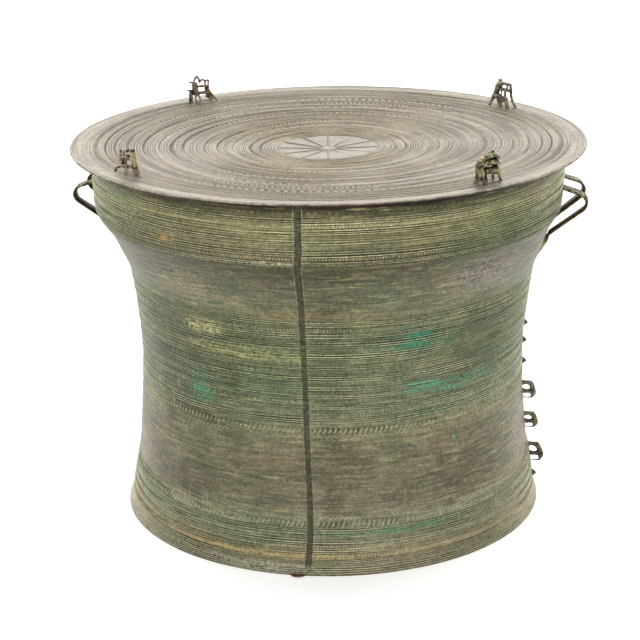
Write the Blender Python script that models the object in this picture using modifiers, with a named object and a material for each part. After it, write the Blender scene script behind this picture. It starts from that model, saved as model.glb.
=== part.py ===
"""Bronze frog drum: one hollow lost-wax casting, open at the foot.

Azimuths run anticlockwise seen from above, from the front seam at -Y towards +X.
Fittings are shaped at the front of the drum, with outward along -Y, and turned to their azimuth.
"""

import math

import bpy
import bmesh
from mathutils import Matrix, Vector
from mathutils.geometry import interpolate_bezier

# Driving dimensions, in metres and degrees
HEIGHT = 0.4873
TYMPANUM_RADIUS = 0.330
DISH_DEPTH = 0.014
DISH_POWER = 1.3
RIM_THICKNESS = 0.0030
TYMPANUM_WALL = 0.0030
MANTLE_WALL = 0.0032
RIM_ROUNDING = 0.0014
BOSS_RADIUS = 0.010
BOSS_HEIGHT = 0.0008
BOSS_SLOPE = 0.002
UPPER_DISH_RINGS = (0.065, 0.125, 0.185, 0.240, 0.290)
UNDER_DISH_RINGS = (0.240, 0.150, 0.060)
TURNING_STEPS = 56

# The mantle's outer side from under the tympanum to the foot: (height, radius)
MANTLE_OUTLINE = (
    (0.4843, 0.3022),
    (0.4290, 0.3016),
    (0.4050, 0.2984),
    (0.3830, 0.2848),
    (0.3600, 0.2750),
    (0.3366, 0.2652),
    (0.3050, 0.2588),
    (0.2700, 0.2546),
    (0.2310, 0.2511),
    (0.1815, 0.2516),
    (0.1320, 0.2550),
    (0.0850, 0.2591),
    (0.0400, 0.2667),
    (0.0132, 0.2712),
    (0.0000, 0.2760),
)

# Below this height the mantle is so nearly straight that its inner side takes every second point
WAIST_TOP = 0.310

HANDLE_AZIMUTHS = (87.0, 99.0, 261.0, 273.0)
STRAP_WIDTH = 0.018
STRAP_THICKNESS = 0.0034
STRAP_TOP_ROOT = 0.4340
STRAP_TOP_CORNER = (0.3325, 0.4230)
STRAP_LOW_CORNER = (0.3355, 0.4065)
STRAP_LOW_ROOT = 0.3650
STRAP_BEND_SETBACK = 0.0058
STRAP_BEND_STEPS = 5
ROOT_OVERLAP = 0.0022

FROG_AZIMUTHS = (46.0, 134.0, 223.0, 313.0)
FROG_RADIUS = 0.2985
# Frogs of one stack, from the bottom: length, width, height, height of the seat,
# how far to each side the feet stand, and how deep they sink into what carries them
FROG_STACK = (
    (0.044, 0.028, 0.0160, 0.0000, 0.0092, 0.0014),
    (0.037, 0.023, 0.0135, 0.0139, 0.0048, 0.0034),
    (0.028, 0.018, 0.0127, 0.0261, 0.0037, 0.0034),
)

ANIMAL_AZIMUTH = 93.0
SNAIL_HEIGHTS = (0.2401, 0.2158, 0.1869, 0.0262)
SNAIL_LENGTH = 0.0098
SNAIL_PROUD = 0.0060
SNAIL_SUNK = 0.0006
# Elephants from the top: height of the middle, length and how far the back stands out
ELEPHANTS = (
    (0.1463, 0.0220, 0.0165),
    (0.1028, 0.0210, 0.0165),
    (0.0573, 0.0256, 0.0185),
)
ELEPHANT_LIMB = 0.0017
ELEPHANT_HALF_STANCE = 0.0029
LEG_SUNK = 0.0013

BRONZE = (0.235, 0.215, 0.135, 1.0)


def dish(radius):
    """Height of the tympanum's upper face at a radius."""
    return HEIGHT - DISH_DEPTH * (1.0 - (radius / TYMPANUM_RADIUS) ** DISH_POWER)


def wall_radius(height):
    """Outer radius of the mantle at a height, between the points of its outline."""
    for (upper, r_upper), (lower, r_lower) in zip(MANTLE_OUTLINE, MANTLE_OUTLINE[1:]):
        if height >= lower:
            part = (height - lower) / (upper - lower)
            return r_lower + part * (r_upper - r_lower)
    return MANTLE_OUTLINE[-1][1]


def clear_scene():
    for obj in list(bpy.data.objects):
        bpy.data.objects.remove(obj, do_unlink=True)


def new_collection(name):
    collection = bpy.data.collections.new(name)
    bpy.context.scene.collection.children.link(collection)
    return collection


def bronze_material():
    material = bpy.data.materials.new("patinated_bronze")
    material.use_nodes = True
    shader = material.node_tree.nodes["Principled BSDF"]
    shader.inputs["Base Color"].default_value = BRONZE
    shader.inputs["Metallic"].default_value = 0.6
    shader.inputs["Roughness"].default_value = 0.55
    return material


# The turned shell


def tympanum_outline():
    """Upper face from the axis to the edge, then round the rim to its underside."""
    boss_top = dish(BOSS_RADIUS) + BOSS_HEIGHT
    points = [(0.0, boss_top), (BOSS_RADIUS, boss_top)]
    points.append((BOSS_RADIUS + BOSS_SLOPE, dish(BOSS_RADIUS)))
    edge = TYMPANUM_RADIUS - RIM_ROUNDING
    points += [(r, dish(r)) for r in (*UPPER_DISH_RINGS, edge)]
    for turn in (60.0, 0.0, -60.0):
        angle = math.radians(turn)
        points.append(
            (
                edge + RIM_ROUNDING * math.cos(angle),
                HEIGHT - RIM_THICKNESS / 2 * (1.0 - math.sin(angle)),
            )
        )
    points.append((edge, HEIGHT - RIM_THICKNESS))
    return points


def inner_outline():
    """The hollow's side, from the foot up to the tympanum's underside and in to the axis."""
    points = []
    shoulder = [point for point in MANTLE_OUTLINE if point[0] > WAIST_TOP]
    lower = [point for point in MANTLE_OUTLINE if point[0] <= WAIST_TOP]
    outline = (shoulder + lower[::2])[::-1]
    for i, (height, radius) in enumerate(outline[:-1]):
        below, above = outline[max(i - 1, 0)], outline[i + 1]
        slope = (above[1] - below[1]) / (above[0] - below[0])
        points.append((radius - MANTLE_WALL * math.hypot(1.0, slope), height))
    inside = outline[-1][1] - MANTLE_WALL
    points += [(r, dish(r) - TYMPANUM_WALL) for r in (inside, *UNDER_DISH_RINGS, 0.0)]
    return points


def turned_shell(collection):
    outline = tympanum_outline()
    outline += [(r, z) for z, r in MANTLE_OUTLINE]
    outline += inner_outline()
    mesh = bpy.data.meshes.new("frog_drum")
    edges = [(i, i + 1) for i in range(len(outline) - 1)]
    mesh.from_pydata([(r, 0.0, z) for r, z in outline], edges, [])
    drum = bpy.data.objects.new("frog_drum", mesh)
    collection.objects.link(drum)
    screw = drum.modifiers.new("turning", "SCREW")
    screw.axis = "Z"
    screw.angle = math.tau
    screw.steps = TURNING_STEPS
    screw.render_steps = TURNING_STEPS
    screw.use_merge_vertices = True
    screw.merge_threshold = 0.00001
    screw.use_smooth_shade = True
    return drum


# Shapes that the shell is joined with


def add_mesh(name, build, collection, azimuth):
    """An object from a bmesh that build() fills, turned about the drum's axis."""
    mesh = bpy.data.meshes.new(name)
    shape = bmesh.new()
    build(shape)
    bmesh.ops.recalc_face_normals(shape, faces=shape.faces)
    shape.to_mesh(mesh)
    shape.free()
    obj = bpy.data.objects.new(name, mesh)
    as_joined_shape(obj, collection, azimuth)
    return obj


def as_joined_shape(obj, collection, azimuth):
    collection.objects.link(obj)
    obj.rotation_euler = (0.0, 0.0, math.radians(azimuth))
    obj.hide_render = True
    obj.display_type = "WIRE"


def add_ball(name, centre, radii, pitch, collection, azimuth, around=6, rings=6):
    """An ellipsoid; pitch lifts its +X end."""

    def build(shape):
        place = (
            Matrix.Translation(centre)
            @ Matrix.Rotation(math.radians(-pitch), 4, "Y")
            @ Matrix.Diagonal((*radii, 1.0))
        )
        bmesh.ops.create_uvsphere(
            shape, u_segments=around, v_segments=rings, radius=1.0, matrix=place
        )

    return add_mesh(name, build, collection, azimuth)


def curve_as_mesh(name, curve, collection, azimuth):
    """A curve made a closed mesh, so that it can be joined."""
    guide = bpy.data.objects.new(name + "_guide", curve)
    bpy.context.scene.collection.objects.link(guide)
    bpy.context.view_layer.update()
    graph = bpy.context.evaluated_depsgraph_get()
    mesh = bpy.data.meshes.new_from_object(guide.evaluated_get(graph))
    bpy.data.objects.remove(guide, do_unlink=True)
    shape = bmesh.new()
    shape.from_mesh(mesh)
    bmesh.ops.remove_doubles(shape, verts=shape.verts, dist=0.000001)
    bmesh.ops.recalc_face_normals(shape, faces=shape.faces)
    shape.to_mesh(mesh)
    shape.free()
    obj = bpy.data.objects.new(name, mesh)
    as_joined_shape(obj, collection, azimuth)
    return obj


def add_limb(name, points, radius, collection, azimuth, taper=1.0):
    """A four-sided limb through the points, its end taper times as thick as its start."""
    curve = bpy.data.curves.new(name, "CURVE")
    curve.dimensions = "3D"
    curve.bevel_depth = radius
    curve.bevel_resolution = 0
    curve.use_fill_caps = True
    line = curve.splines.new("POLY")
    line.points.add(len(points) - 1)
    for i, point in enumerate(points):
        line.points[i].co = (*point, 1.0)
        line.points[i].radius = 1.0 + (taper - 1.0) * i / (len(points) - 1)
    return curve_as_mesh(name, curve, collection, azimuth)


# Strap handles


def rounded_corner(before, corner, after):
    """Points of the strap's bend at a corner."""
    start = corner + (before - corner).normalized() * STRAP_BEND_SETBACK
    end = corner + (after - corner).normalized() * STRAP_BEND_SETBACK
    pull_in, pull_out = start.lerp(corner, 0.6), end.lerp(corner, 0.6)
    return interpolate_bezier(start, pull_in, pull_out, end, STRAP_BEND_STEPS)


def strap_path():
    """The strap's outer side in (radius, height), from its upper root to its lower one."""
    top_root = Vector((wall_radius(STRAP_TOP_ROOT) - ROOT_OVERLAP, STRAP_TOP_ROOT))
    low_root = Vector((wall_radius(STRAP_LOW_ROOT) - ROOT_OVERLAP, STRAP_LOW_ROOT))
    top, low = Vector(STRAP_TOP_CORNER), Vector(STRAP_LOW_CORNER)
    path = [top_root]
    path += rounded_corner(top_root, top, low)
    path += rounded_corner(top, low, low_root)
    path.append(low_root)
    return path


def inset_path(path, depth):
    """The path moved towards the drum by depth, square to its own run."""
    inner = []
    for i, point in enumerate(path):
        run = path[min(i + 1, len(path) - 1)] - path[max(i - 1, 0)]
        run.normalize()
        inner.append(point + Vector((run.y, -run.x)) * depth)
    return inner


def add_handle(name, azimuth, collection):
    outer = strap_path()
    outline = outer + inset_path(outer, STRAP_THICKNESS)[::-1]
    curve = bpy.data.curves.new(name, "CURVE")
    curve.dimensions = "2D"
    curve.fill_mode = "BOTH"
    curve.extrude = STRAP_WIDTH / 2
    line = curve.splines.new("POLY")
    line.points.add(len(outline) - 1)
    for i, (radius, height) in enumerate(outline):
        line.points[i].co = (radius, height, 0.0, 1.0)
    line.use_cyclic_u = True
    strap = curve_as_mesh(name, curve, collection, azimuth)
    # The outline's plane is stood up: radius along -Y, height along +Z, width along -X
    stand = Matrix(((0.0, 0.0, -1.0), (-1.0, 0.0, 0.0), (0.0, 1.0, 0.0)))
    strap.data.transform(stand.to_4x4())


# Frogs, one on another's back


def add_frog(name, azimuth, size, collection):
    """A squatting frog facing +X, on the tympanum or on the frog below."""
    length, width, height, lift, spread, sunk = size
    ground = dish(FROG_RADIUS) + lift

    def at(forward, side, up):
        return (forward * length, -FROG_RADIUS + side, ground + up * height)

    add_ball(
        name + "_trunk",
        at(-0.04, 0.0, 0.70),
        (0.36 * length, 0.28 * width, 0.30 * height),
        7.0,
        collection,
        azimuth,
        rings=5,
    )
    add_ball(
        name + "_head",
        at(0.30, 0.0, 0.79),
        (0.20 * length, 0.22 * width, 0.21 * height),
        4.0,
        collection,
        azimuth,
        rings=4,
    )
    limb = 0.085 * height + 0.0003
    sink = -sunk / height
    for side, word in ((-1.0, "outer"), (1.0, "inner")):
        hind = (
            at(-0.22, side * 0.10 * width, 0.72),
            at(-0.02, side * 0.40 * width, 0.62),
            at(-0.30, side * spread, sink),
        )
        fore = (
            at(0.17, side * 0.10 * width, 0.72),
            at(0.205, side * 0.34 * width, 0.50),
            at(0.30, side * spread * 0.95, sink),
        )
        add_limb(name + "_hind_" + word, hind, limb * 1.25, collection, azimuth, taper=0.7)
        add_limb(name + "_fore_" + word, fore, limb, collection, azimuth, taper=0.8)


# Animals down the mantle below one pair of handles


def add_snail(name, height, collection):
    """A pointed shell lying on the wall."""
    radius = wall_radius(height)

    def build(shape):
        place = (
            Matrix.Translation((0.0, -radius - SNAIL_PROUD / 2 + SNAIL_SUNK, height))
            @ Matrix.Rotation(math.radians(90.0), 4, "X")
        )
        bmesh.ops.create_cone(
            shape,
            cap_ends=True,
            segments=8,
            radius1=SNAIL_LENGTH / 2,
            radius2=SNAIL_LENGTH * 0.09,
            depth=SNAIL_PROUD + 2.0 * SNAIL_SUNK,
            matrix=place,
        )

    add_mesh(name, build, collection, ANIMAL_AZIMUTH)


def add_elephant(name, height, length, proud, collection):
    """An elephant walking down the wall, its back outwards and its trunk curled to the wall."""

    def at(ahead, side, out):
        z = height + length / 2 - ahead * length
        return (side, -wall_radius(z) - out * proud, z)

    def ball(part, place, radii):
        scaled = (radii[0], radii[1] * proud, radii[2] * length)
        add_ball(name + part, place, scaled, 0.0, collection, ANIMAL_AZIMUTH)

    def limb(part, points, taper=1.0):
        add_limb(name + part, points, ELEPHANT_LIMB, collection, ANIMAL_AZIMUTH, taper)

    ball("_body", at(0.33, 0.0, 0.64), (0.0048, 0.29, 0.36))
    ball("_head", at(0.74, 0.0, 0.72), (0.0040, 0.28, 0.21))
    root = -LEG_SUNK / proud
    for side, word in ((-ELEPHANT_HALF_STANCE, "front"), (ELEPHANT_HALF_STANCE, "back")):
        limb("_hind_" + word, (at(0.12, side, 0.60), at(0.05, side, root)))
        limb("_fore_" + word, (at(0.55, side, 0.62), at(0.52, side, root)))
    trunk = (
        at(0.76, 0.0, 0.80),
        at(0.90, 0.0, 0.66),
        at(0.97, 0.0, 0.34),
        at(0.97, 0.0, root),
    )
    limb("_trunk", trunk, 0.6)


def main():
    clear_scene()
    parts = new_collection("bronze_frog_drum")
    joined = new_collection("joined_shapes")
    drum = turned_shell(parts)
    drum.data.materials.append(bronze_material())
    for number, azimuth in enumerate(HANDLE_AZIMUTHS, 1):
        add_handle(f"handle_{number}", azimuth, joined)
    for stack, azimuth in enumerate(FROG_AZIMUTHS, 1):
        for level, size in enumerate(FROG_STACK, 1):
            add_frog(f"frog_{stack}_{level}", azimuth, size, joined)
    for number, height in enumerate(SNAIL_HEIGHTS, 1):
        add_snail(f"snail_{number}", height, joined)
    for number, (height, length, proud) in enumerate(ELEPHANTS, 1):
        add_elephant(f"elephant_{number}", height, length, proud, joined)
    union = drum.modifiers.new("casting", "BOOLEAN")
    union.operation = "UNION"
    union.operand_type = "COLLECTION"
    union.collection = joined
    union.solver = "EXACT"
    drum.modifiers.new("even_shading", "WEIGHTED_NORMAL")


main()
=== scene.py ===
"""Bronze frog drum: its cast relief, frogs, handles, patina and studio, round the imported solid.

Azimuths run anticlockwise seen from above, from the front seam at -Y towards +X.
Small figures are shaped at the front of the drum, outward along -Y, and turned to their azimuth.
"""

import math

import bpy
import numpy as np
from bpy.props import FloatProperty, IntProperty, PointerProperty
from bpy.types import Operator, Panel, PropertyGroup
from mathutils import Matrix, Vector
from mathutils.bvhtree import BVHTree


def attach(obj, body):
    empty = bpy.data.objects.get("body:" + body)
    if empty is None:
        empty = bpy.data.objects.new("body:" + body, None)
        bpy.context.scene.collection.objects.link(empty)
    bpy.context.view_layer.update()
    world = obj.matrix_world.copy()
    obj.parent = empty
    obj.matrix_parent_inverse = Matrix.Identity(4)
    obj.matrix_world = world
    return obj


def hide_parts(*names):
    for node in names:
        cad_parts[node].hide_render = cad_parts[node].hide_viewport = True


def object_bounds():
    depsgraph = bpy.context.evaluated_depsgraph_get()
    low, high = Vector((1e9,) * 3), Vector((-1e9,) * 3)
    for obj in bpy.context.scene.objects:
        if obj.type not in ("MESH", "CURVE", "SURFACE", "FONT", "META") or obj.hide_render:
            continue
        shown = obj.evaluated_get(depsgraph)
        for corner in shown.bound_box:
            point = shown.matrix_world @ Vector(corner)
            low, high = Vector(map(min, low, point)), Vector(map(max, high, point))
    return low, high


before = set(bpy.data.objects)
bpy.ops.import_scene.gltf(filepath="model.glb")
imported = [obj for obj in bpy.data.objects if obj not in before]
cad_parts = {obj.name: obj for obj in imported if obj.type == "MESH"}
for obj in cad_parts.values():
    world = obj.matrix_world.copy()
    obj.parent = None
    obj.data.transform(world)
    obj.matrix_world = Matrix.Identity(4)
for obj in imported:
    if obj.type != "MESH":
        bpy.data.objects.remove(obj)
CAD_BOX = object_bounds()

bl_info = {
    "name": "Bronze Frog Drum",
    "version": (1, 0, 0),
    "blender": (4, 5, 0),
    "location": "View3D > Sidebar > Frog Drum",
    "description": "Builds a lost-wax bronze frog drum with its cast bands, frogs and patina",
    "category": "Add Mesh",
}

MM = 0.001
NODE = "frog_drum"

# The turned form

HEAD_RADIUS = CAD_BOX[1].y
RIM_TOP = 0.4873
DISH_DEPTH = 0.014
DISH_POWER = 1.3
RIM_THICKNESS = 0.0030
HEAD_WALL = 0.0030
MANTLE_WALL = 0.0032
BOSS_RADIUS = 0.010
MANTLE_OUTLINE = (
    (0.0000, 0.2760),
    (0.0132, 0.2712),
    (0.0400, 0.2667),
    (0.0850, 0.2591),
    (0.1320, 0.2550),
    (0.1815, 0.2516),
    (0.2310, 0.2511),
    (0.2700, 0.2546),
    (0.3050, 0.2588),
    (0.3366, 0.2652),
    (0.3600, 0.2750),
    (0.3830, 0.2848),
    (0.4050, 0.2984),
    (0.4290, 0.3016),
    (0.4843, 0.3022),
)
MEAN_RADIUS = 0.27
# The wall runs true at the foot and above this height
EVEN_TOP = 0.478

# The wax slumped a little to one side: height in metres, lean in millimetres
LEAN_AZIMUTH = 97.0
LEAN = (
    (0.000, 0.0),
    (0.060, 1.3),
    (0.150, 1.3),
    (0.250, 2.6),
    (0.310, 3.3),
    (0.355, 3.3),
    (0.385, 1.4),
    (0.403, 0.0),
    (0.490, 0.0),
)

# How far the seams run aside on the wall: height in metres, drift in millimetres
SEAM_DRIFT = (
    (0.000, 0.5),
    (0.045, 2.0),
    (0.130, 0.0),
    (0.190, -2.4),
    (0.250, -4.2),
    (0.310, -5.8),
    (0.350, -5.4),
    (0.390, -3.2),
    (0.415, 0.0),
    (0.490, 0.0),
)

# Cast lines round the mantle, in millimetres: height of a group's top line, lines, pitch
MANTLE_LINES = (
    (462.0, 3, 2.6),
    (449.0, 3, 3.0),
    (437.0, 3, 2.6),
    (423.0, 3, 3.0),
    (409.0, 3, 2.1),
    (323.0, 3, 2.5),
    (308.0, 3, 2.5),
    (296.0, 3, 3.0),
    (281.0, 3, 2.6),
    (267.0, 3, 2.3),
    (251.0, 3, 2.5),
    (238.7, 3, 2.2),
    (227.7, 3, 2.2),
    (212.0, 2, 2.2),
    (198.0, 3, 2.7),
    (56.0, 3, 2.5),
    (44.0, 3, 2.5),
    (32.0, 3, 2.3),
    (18.0, 4, 2.0),
    (10.0, 4, 2.4),
)

# Cast lines round the head, in millimetres: radius of a group's first and last line, lines
HEAD_LINES = (
    (68.5, 71.5, 2),
    (76.5, 83.0, 3),
    (91.5, 96.5, 3),
    (104.5, 116.5, 5),
    (129.5, 136.5, 3),
    (149.5, 156.5, 3),
    (162.5, 167.5, 3),
    (172.5, 179.5, 3),
    (191.5, 196.5, 3),
    (206.0, 209.0, 2),
    (224.5, 229.5, 3),
    (243.5, 250.5, 3),
    (263.5, 269.5, 3),
    (276.5, 282.5, 3),
    (288.5, 293.0, 3),
    (303.5, 306.5, 2),
)

SEAM_AZIMUTHS = (0.0, 180.0)
SEAM_HALF_WIDTH = 4.6 * MM


def smooth_curve(xs, ys):
    """A function that runs smoothly through the points."""
    xs, ys = np.asarray(xs, float), np.asarray(ys, float)
    slopes = np.gradient(ys, xs)

    def at(x):
        x = np.clip(x, xs[0], xs[-1])
        i = np.clip(np.searchsorted(xs, x) - 1, 0, len(xs) - 2)
        span = xs[i + 1] - xs[i]
        t = (x - xs[i]) / span
        rise = t * t * (3.0 - 2.0 * t)
        return (
            ys[i] * (1.0 - rise)
            + ys[i + 1] * rise
            + span * slopes[i] * t * (1.0 - t) ** 2
            - span * slopes[i + 1] * t * t * (1.0 - t)
        )

    return at


wall_radius = smooth_curve(*zip(*MANTLE_OUTLINE))
lean_at = smooth_curve(*zip(*LEAN))
seam_drift = smooth_curve(*zip(*SEAM_DRIFT))


def leaned(points):
    """Points of the mantle or of what stands on it, shifted with its lean."""
    shift = lean_at(points[..., 2]) * MM
    angle = math.radians(LEAN_AZIMUTH)
    moved = np.array(points)
    moved[..., 0] += shift * math.sin(angle)
    moved[..., 1] -= shift * math.cos(angle)
    return moved


def drift_angle(height):
    """How far the scribed wax is turned round the drum at a height, in radians."""
    return seam_drift(height) * MM / wall_radius(height)


def dish(radius):
    """Height of the head's upper face at a radius."""
    return RIM_TOP - DISH_DEPTH * (1.0 - (np.asarray(radius) / HEAD_RADIUS) ** DISH_POWER)


def from_seam(azimuth, radius):
    """Distance along a wall of a radius to the nearer of the two seams."""
    return np.abs((azimuth + math.pi / 2) % math.pi - math.pi / 2) * radius


def distances_along(path):
    """How far along a path each of its points is."""
    return np.concatenate(((0.0,), np.cumsum(np.linalg.norm(np.diff(path, axis=0), axis=1))))


def headings(path, closed=False):
    """The direction in which a path runs at each of its points."""
    run = np.roll(path, -1, 0) - np.roll(path, 1, 0) if closed else np.gradient(path, axis=0)
    return run / np.linalg.norm(run, axis=1)[:, None]


def smooth_step(value, low, high):
    """0 below low and 1 above high, eased between."""
    t = np.clip((np.asarray(value) - low) / (high - low), 0.0, 1.0)
    return t * t * (3.0 - 2.0 * t)


def unevenness(seed, azimuth, height, turns, rises):
    """Smooth unevenness from about -1 to 1 that closes on itself round the drum."""
    draws = np.random.default_rng(seed)
    total = np.zeros(np.broadcast(azimuth, height).shape)
    for _ in range(9):
        laps = draws.integers(1, turns + 1)
        up = draws.uniform(-rises, rises)
        total = total + np.sin(laps * azimuth + up * height + draws.uniform(0.0, math.tau))
    return total / 3.0


# Meshes


class Casting:
    """Points and faces gathered for one mesh, with the tone of each point.

    The tone runs from -1, in a grimy recess or where shade is painted, to 1 on a rubbed crown.
    """

    def __init__(self):
        self.points = []
        self.faces = []
        self.tones = []
        self.seams = []
        self.count = 0

    def add(self, points, faces, tone=0.0, seam=0.0):
        points = np.asarray(points, float).reshape(-1, 3)
        faces = faces.tolist() if isinstance(faces, np.ndarray) else faces
        self.points.append(points)
        self.faces += [[corner + self.count for corner in face] for face in faces]
        self.tones.append(np.broadcast_to(np.ravel(tone), (len(points),)))
        self.seams.append(np.broadcast_to(np.ravel(seam), (len(points),)))
        self.count += len(points)

    def mesh(self, name):
        mesh = bpy.data.meshes.new(name)
        mesh.from_pydata(np.concatenate(self.points).tolist(), [], self.faces)
        set_values(mesh, "tone", np.concatenate(self.tones))
        set_values(mesh, "seam", np.concatenate(self.seams))
        mesh.shade_smooth()
        return mesh


def set_values(mesh, name, values):
    """Gives each point of a mesh a value that its finish reads."""
    attribute = mesh.attributes.get(name) or mesh.attributes.new(name, "FLOAT", "POINT")
    attribute.data.foreach_set("value", np.asarray(values, np.float32))


def around(radius, azimuth, height):
    """Points at a distance from the drum's axis, an azimuth and a height."""
    return np.stack((radius * np.sin(azimuth), -radius * np.cos(azimuth), height), axis=-1)


def grid_faces(rows, columns):
    """Faces between rows of points that each go once round."""
    row = np.arange(rows - 1)[:, None] * columns
    here = row + np.arange(columns)
    onward = row + (np.arange(columns) + 1) % columns
    return np.stack((here, here + columns, onward + columns, onward), axis=-1).reshape(-1, 4)


def turned_grid(radius, azimuth, height):
    """Points and faces of rows that go once round the axis, outward on the left of the way down."""
    return around(radius, azimuth, height).reshape(-1, 3), grid_faces(*radius.shape)


def shown(name, data):
    """A new object in the scene."""
    made = bpy.data.objects.new(name, data)
    bpy.context.scene.collection.objects.link(made)
    return made


def put(mesh, finish, *replaced):
    """Shows the mesh as a piece of the drum, in its finish."""
    piece = shown(mesh.name, mesh)
    mesh.materials.append(finish)
    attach(piece, "root")
    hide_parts(*replaced)


def turned(points, azimuth):
    """Points shaped at the front of the drum, turned to an azimuth in degrees."""
    angle = math.radians(azimuth)
    x, y, z = np.asarray(points, float).T
    return np.stack(
        (x * math.cos(angle) - y * math.sin(angle), x * math.sin(angle) + y * math.cos(angle), z),
        axis=-1,
    )


# Rows of points across the cast lines: place, how far a row stands proud, and tone

# Rows closer together than this are one row
LEAST_GAP = 0.12 * MM


def line_rows(centre, half, flat, foot_tone):
    """One raised line: its two feet and the two edges of its crown."""
    rows = [(centre + side * half, 0.0, foot_tone) for side in (-1, 1)]
    return rows + [(centre + side * flat * half, 1.0, 1.0) for side in (-1, 1)]


def filled_rows(rows, spacing):
    """The rows with plain ones put in at about a spacing, and crowded ones left out."""
    filled = [rows[0]]
    for row in rows[1:]:
        start = filled[-1][0]
        gap = row[0] - start
        plain = int(abs(gap) // spacing)
        filled += [(start + gap * (i + 1) / (plain + 1), 0.0, 0.0) for i in range(plain)]
        if abs(gap) > LEAST_GAP:
            filled.append(row)
    return np.array(filled)


# Mantle


def mantle_columns(base_columns):
    """Azimuths round the mantle, closer together at the two seams."""
    steps = np.array((0.0, 3.2, 3.9, 4.6, 5.3, 6.2, 8.6)) * MM / MEAN_RADIUS
    clear = steps[-1] + math.tau / base_columns * 0.6
    azimuths = [np.linspace(-math.pi, math.pi, base_columns, endpoint=False)]
    for seam in np.radians(SEAM_AZIMUTHS):
        away = np.abs((azimuths[0] - seam + math.pi) % math.tau - math.pi)
        azimuths[0] = azimuths[0][away > clear]
        azimuths += [seam + steps, seam - steps[1:]]
    joined = (np.concatenate(azimuths) + math.pi) % math.tau - math.pi
    return np.sort(joined)


def mantle_rows():
    """Down the outer wall: heights, how far each row stands out and its tone."""
    # The two top rows, under the head's overhang, take a dark tone: painted shade
    rows = [(RIM_TOP - RIM_THICKNESS + 0.0007, 0.0, -0.5), (0.4750, 0.0, -0.3)]
    for top, lines, pitch in MANTLE_LINES:
        for i in range(lines):
            centre = (top - i * pitch) * MM
            half = min(pitch * 0.30, 0.75) * MM
            rows += line_rows(centre, half, 0.38, -0.55)
            if i < lines - 1:
                rows.append((centre - pitch / 2 * MM, -0.45, -1.0))
        rows.append((top * MM + 1.35 * MM, -0.30, -0.9))
        rows.append((centre - 1.35 * MM, -0.30, -0.9))
    spans = [(top + 2.2, top - (lines - 1) * pitch - 2.2) for top, lines, pitch in MANTLE_LINES]
    for level in [end for span in spans for end in span]:
        if not any(lower < level < upper for upper, lower in spans):
            rows.append((level * MM, 0.0, 0.0))
    rows.append((0.0005, -0.2, -0.3))
    return filled_rows(sorted(rows, key=lambda row: -row[0]), 8.0 * MM)


def make_mantle(sizes):
    """The wall, from under the head down its outer side and up its inner side."""
    azimuth = mantle_columns(sizes.columns)[None, :]
    rows = mantle_rows()
    height, proud, tone = (rows[:, i][:, None] for i in range(3))

    # Each half of the wax was scribed on its own, so the lines don't quite meet at the seams
    side = 0.5 - (azimuth % math.pi) / math.pi
    drift = 0.75 * MM * np.sin(height * 173.0 + 1.3) + 0.35 * MM * np.sin(height * 811.0)
    waver = 0.28 * MM * unevenness(3, azimuth, height, 9, 22.0)
    ends = smooth_step(height, 0.0, 0.012) * smooth_step(EVEN_TOP - height, 0.0, 0.012)
    z = height + (side * drift * 2.0 + waver) * ends

    aside = from_seam(azimuth, MEAN_RADIUS)
    in_seam = 1.0 - smooth_step(aside, 3.2 * MM, SEAM_HALF_WIDTH)
    border = np.clip(1.0 - np.abs(aside - SEAM_HALF_WIDTH) / (0.8 * MM), 0.0, 1.0)
    above_foot = smooth_step(z, 0.004, 0.02)
    border = border * above_foot * (0.70 + 0.30 * unevenness(5, azimuth * 0 + 1, height, 1, 90.0))

    wear = np.clip(0.92 + 0.18 * unevenness(7, azimuth, z, 14, 60.0), 0.55, 1.15)
    relief = proud * sizes.line_relief * wear * (1.0 - 0.45 * in_seam)
    dents = 0.5 * MM * unevenness(11, azimuth, z, 5, 14.0) * ends
    dents = dents + 0.22 * MM * unevenness(12, azimuth, z, 40, 160.0) * ends
    radius = wall_radius(z) + relief + dents
    radius = radius + 0.50 * MM * border - 0.30 * MM * in_seam * above_foot
    tones = np.clip(tone * wear * (1.0 - 0.35 * in_seam) + 0.75 * border, -1.0, 1.0)
    seams = in_seam * np.ones_like(z)

    # Round the foot's edge and up the inner side
    inner_height = np.linspace(0.0, 1.0, 30)[:, None] ** 1.15 * (RIM_TOP - 0.0060)
    slope = np.gradient(wall_radius(inner_height[:, 0]), inner_height[:, 0])[:, None]
    inner = wall_radius(inner_height) - MANTLE_WALL * np.hypot(1.0, slope)
    inner = inner + 0.35 * MM * unevenness(13, azimuth, inner_height, 16, 80.0)
    inner_z = inner_height * np.ones_like(azimuth)
    foot = wall_radius(0.0) - np.array((0.5, 1.6))[:, None] * MM + 0.0 * azimuth
    radius = np.concatenate((radius, foot, inner))
    z = np.concatenate((z, 0.0 * foot, inner_z))
    tones = np.concatenate((tones, 0.0 * foot - 0.3, 0.0 * inner - 0.35))
    seams = np.concatenate((seams, 0.0 * foot, 0.0 * inner))

    casting = Casting()
    points, faces = turned_grid(radius, azimuth + drift_angle(z), z)
    casting.add(leaned(points), faces, tones, seams)
    put(casting.mesh("mantle"), mantle_finish("mantle_patina"), NODE)


# Stamped and scribed motifs


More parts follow.
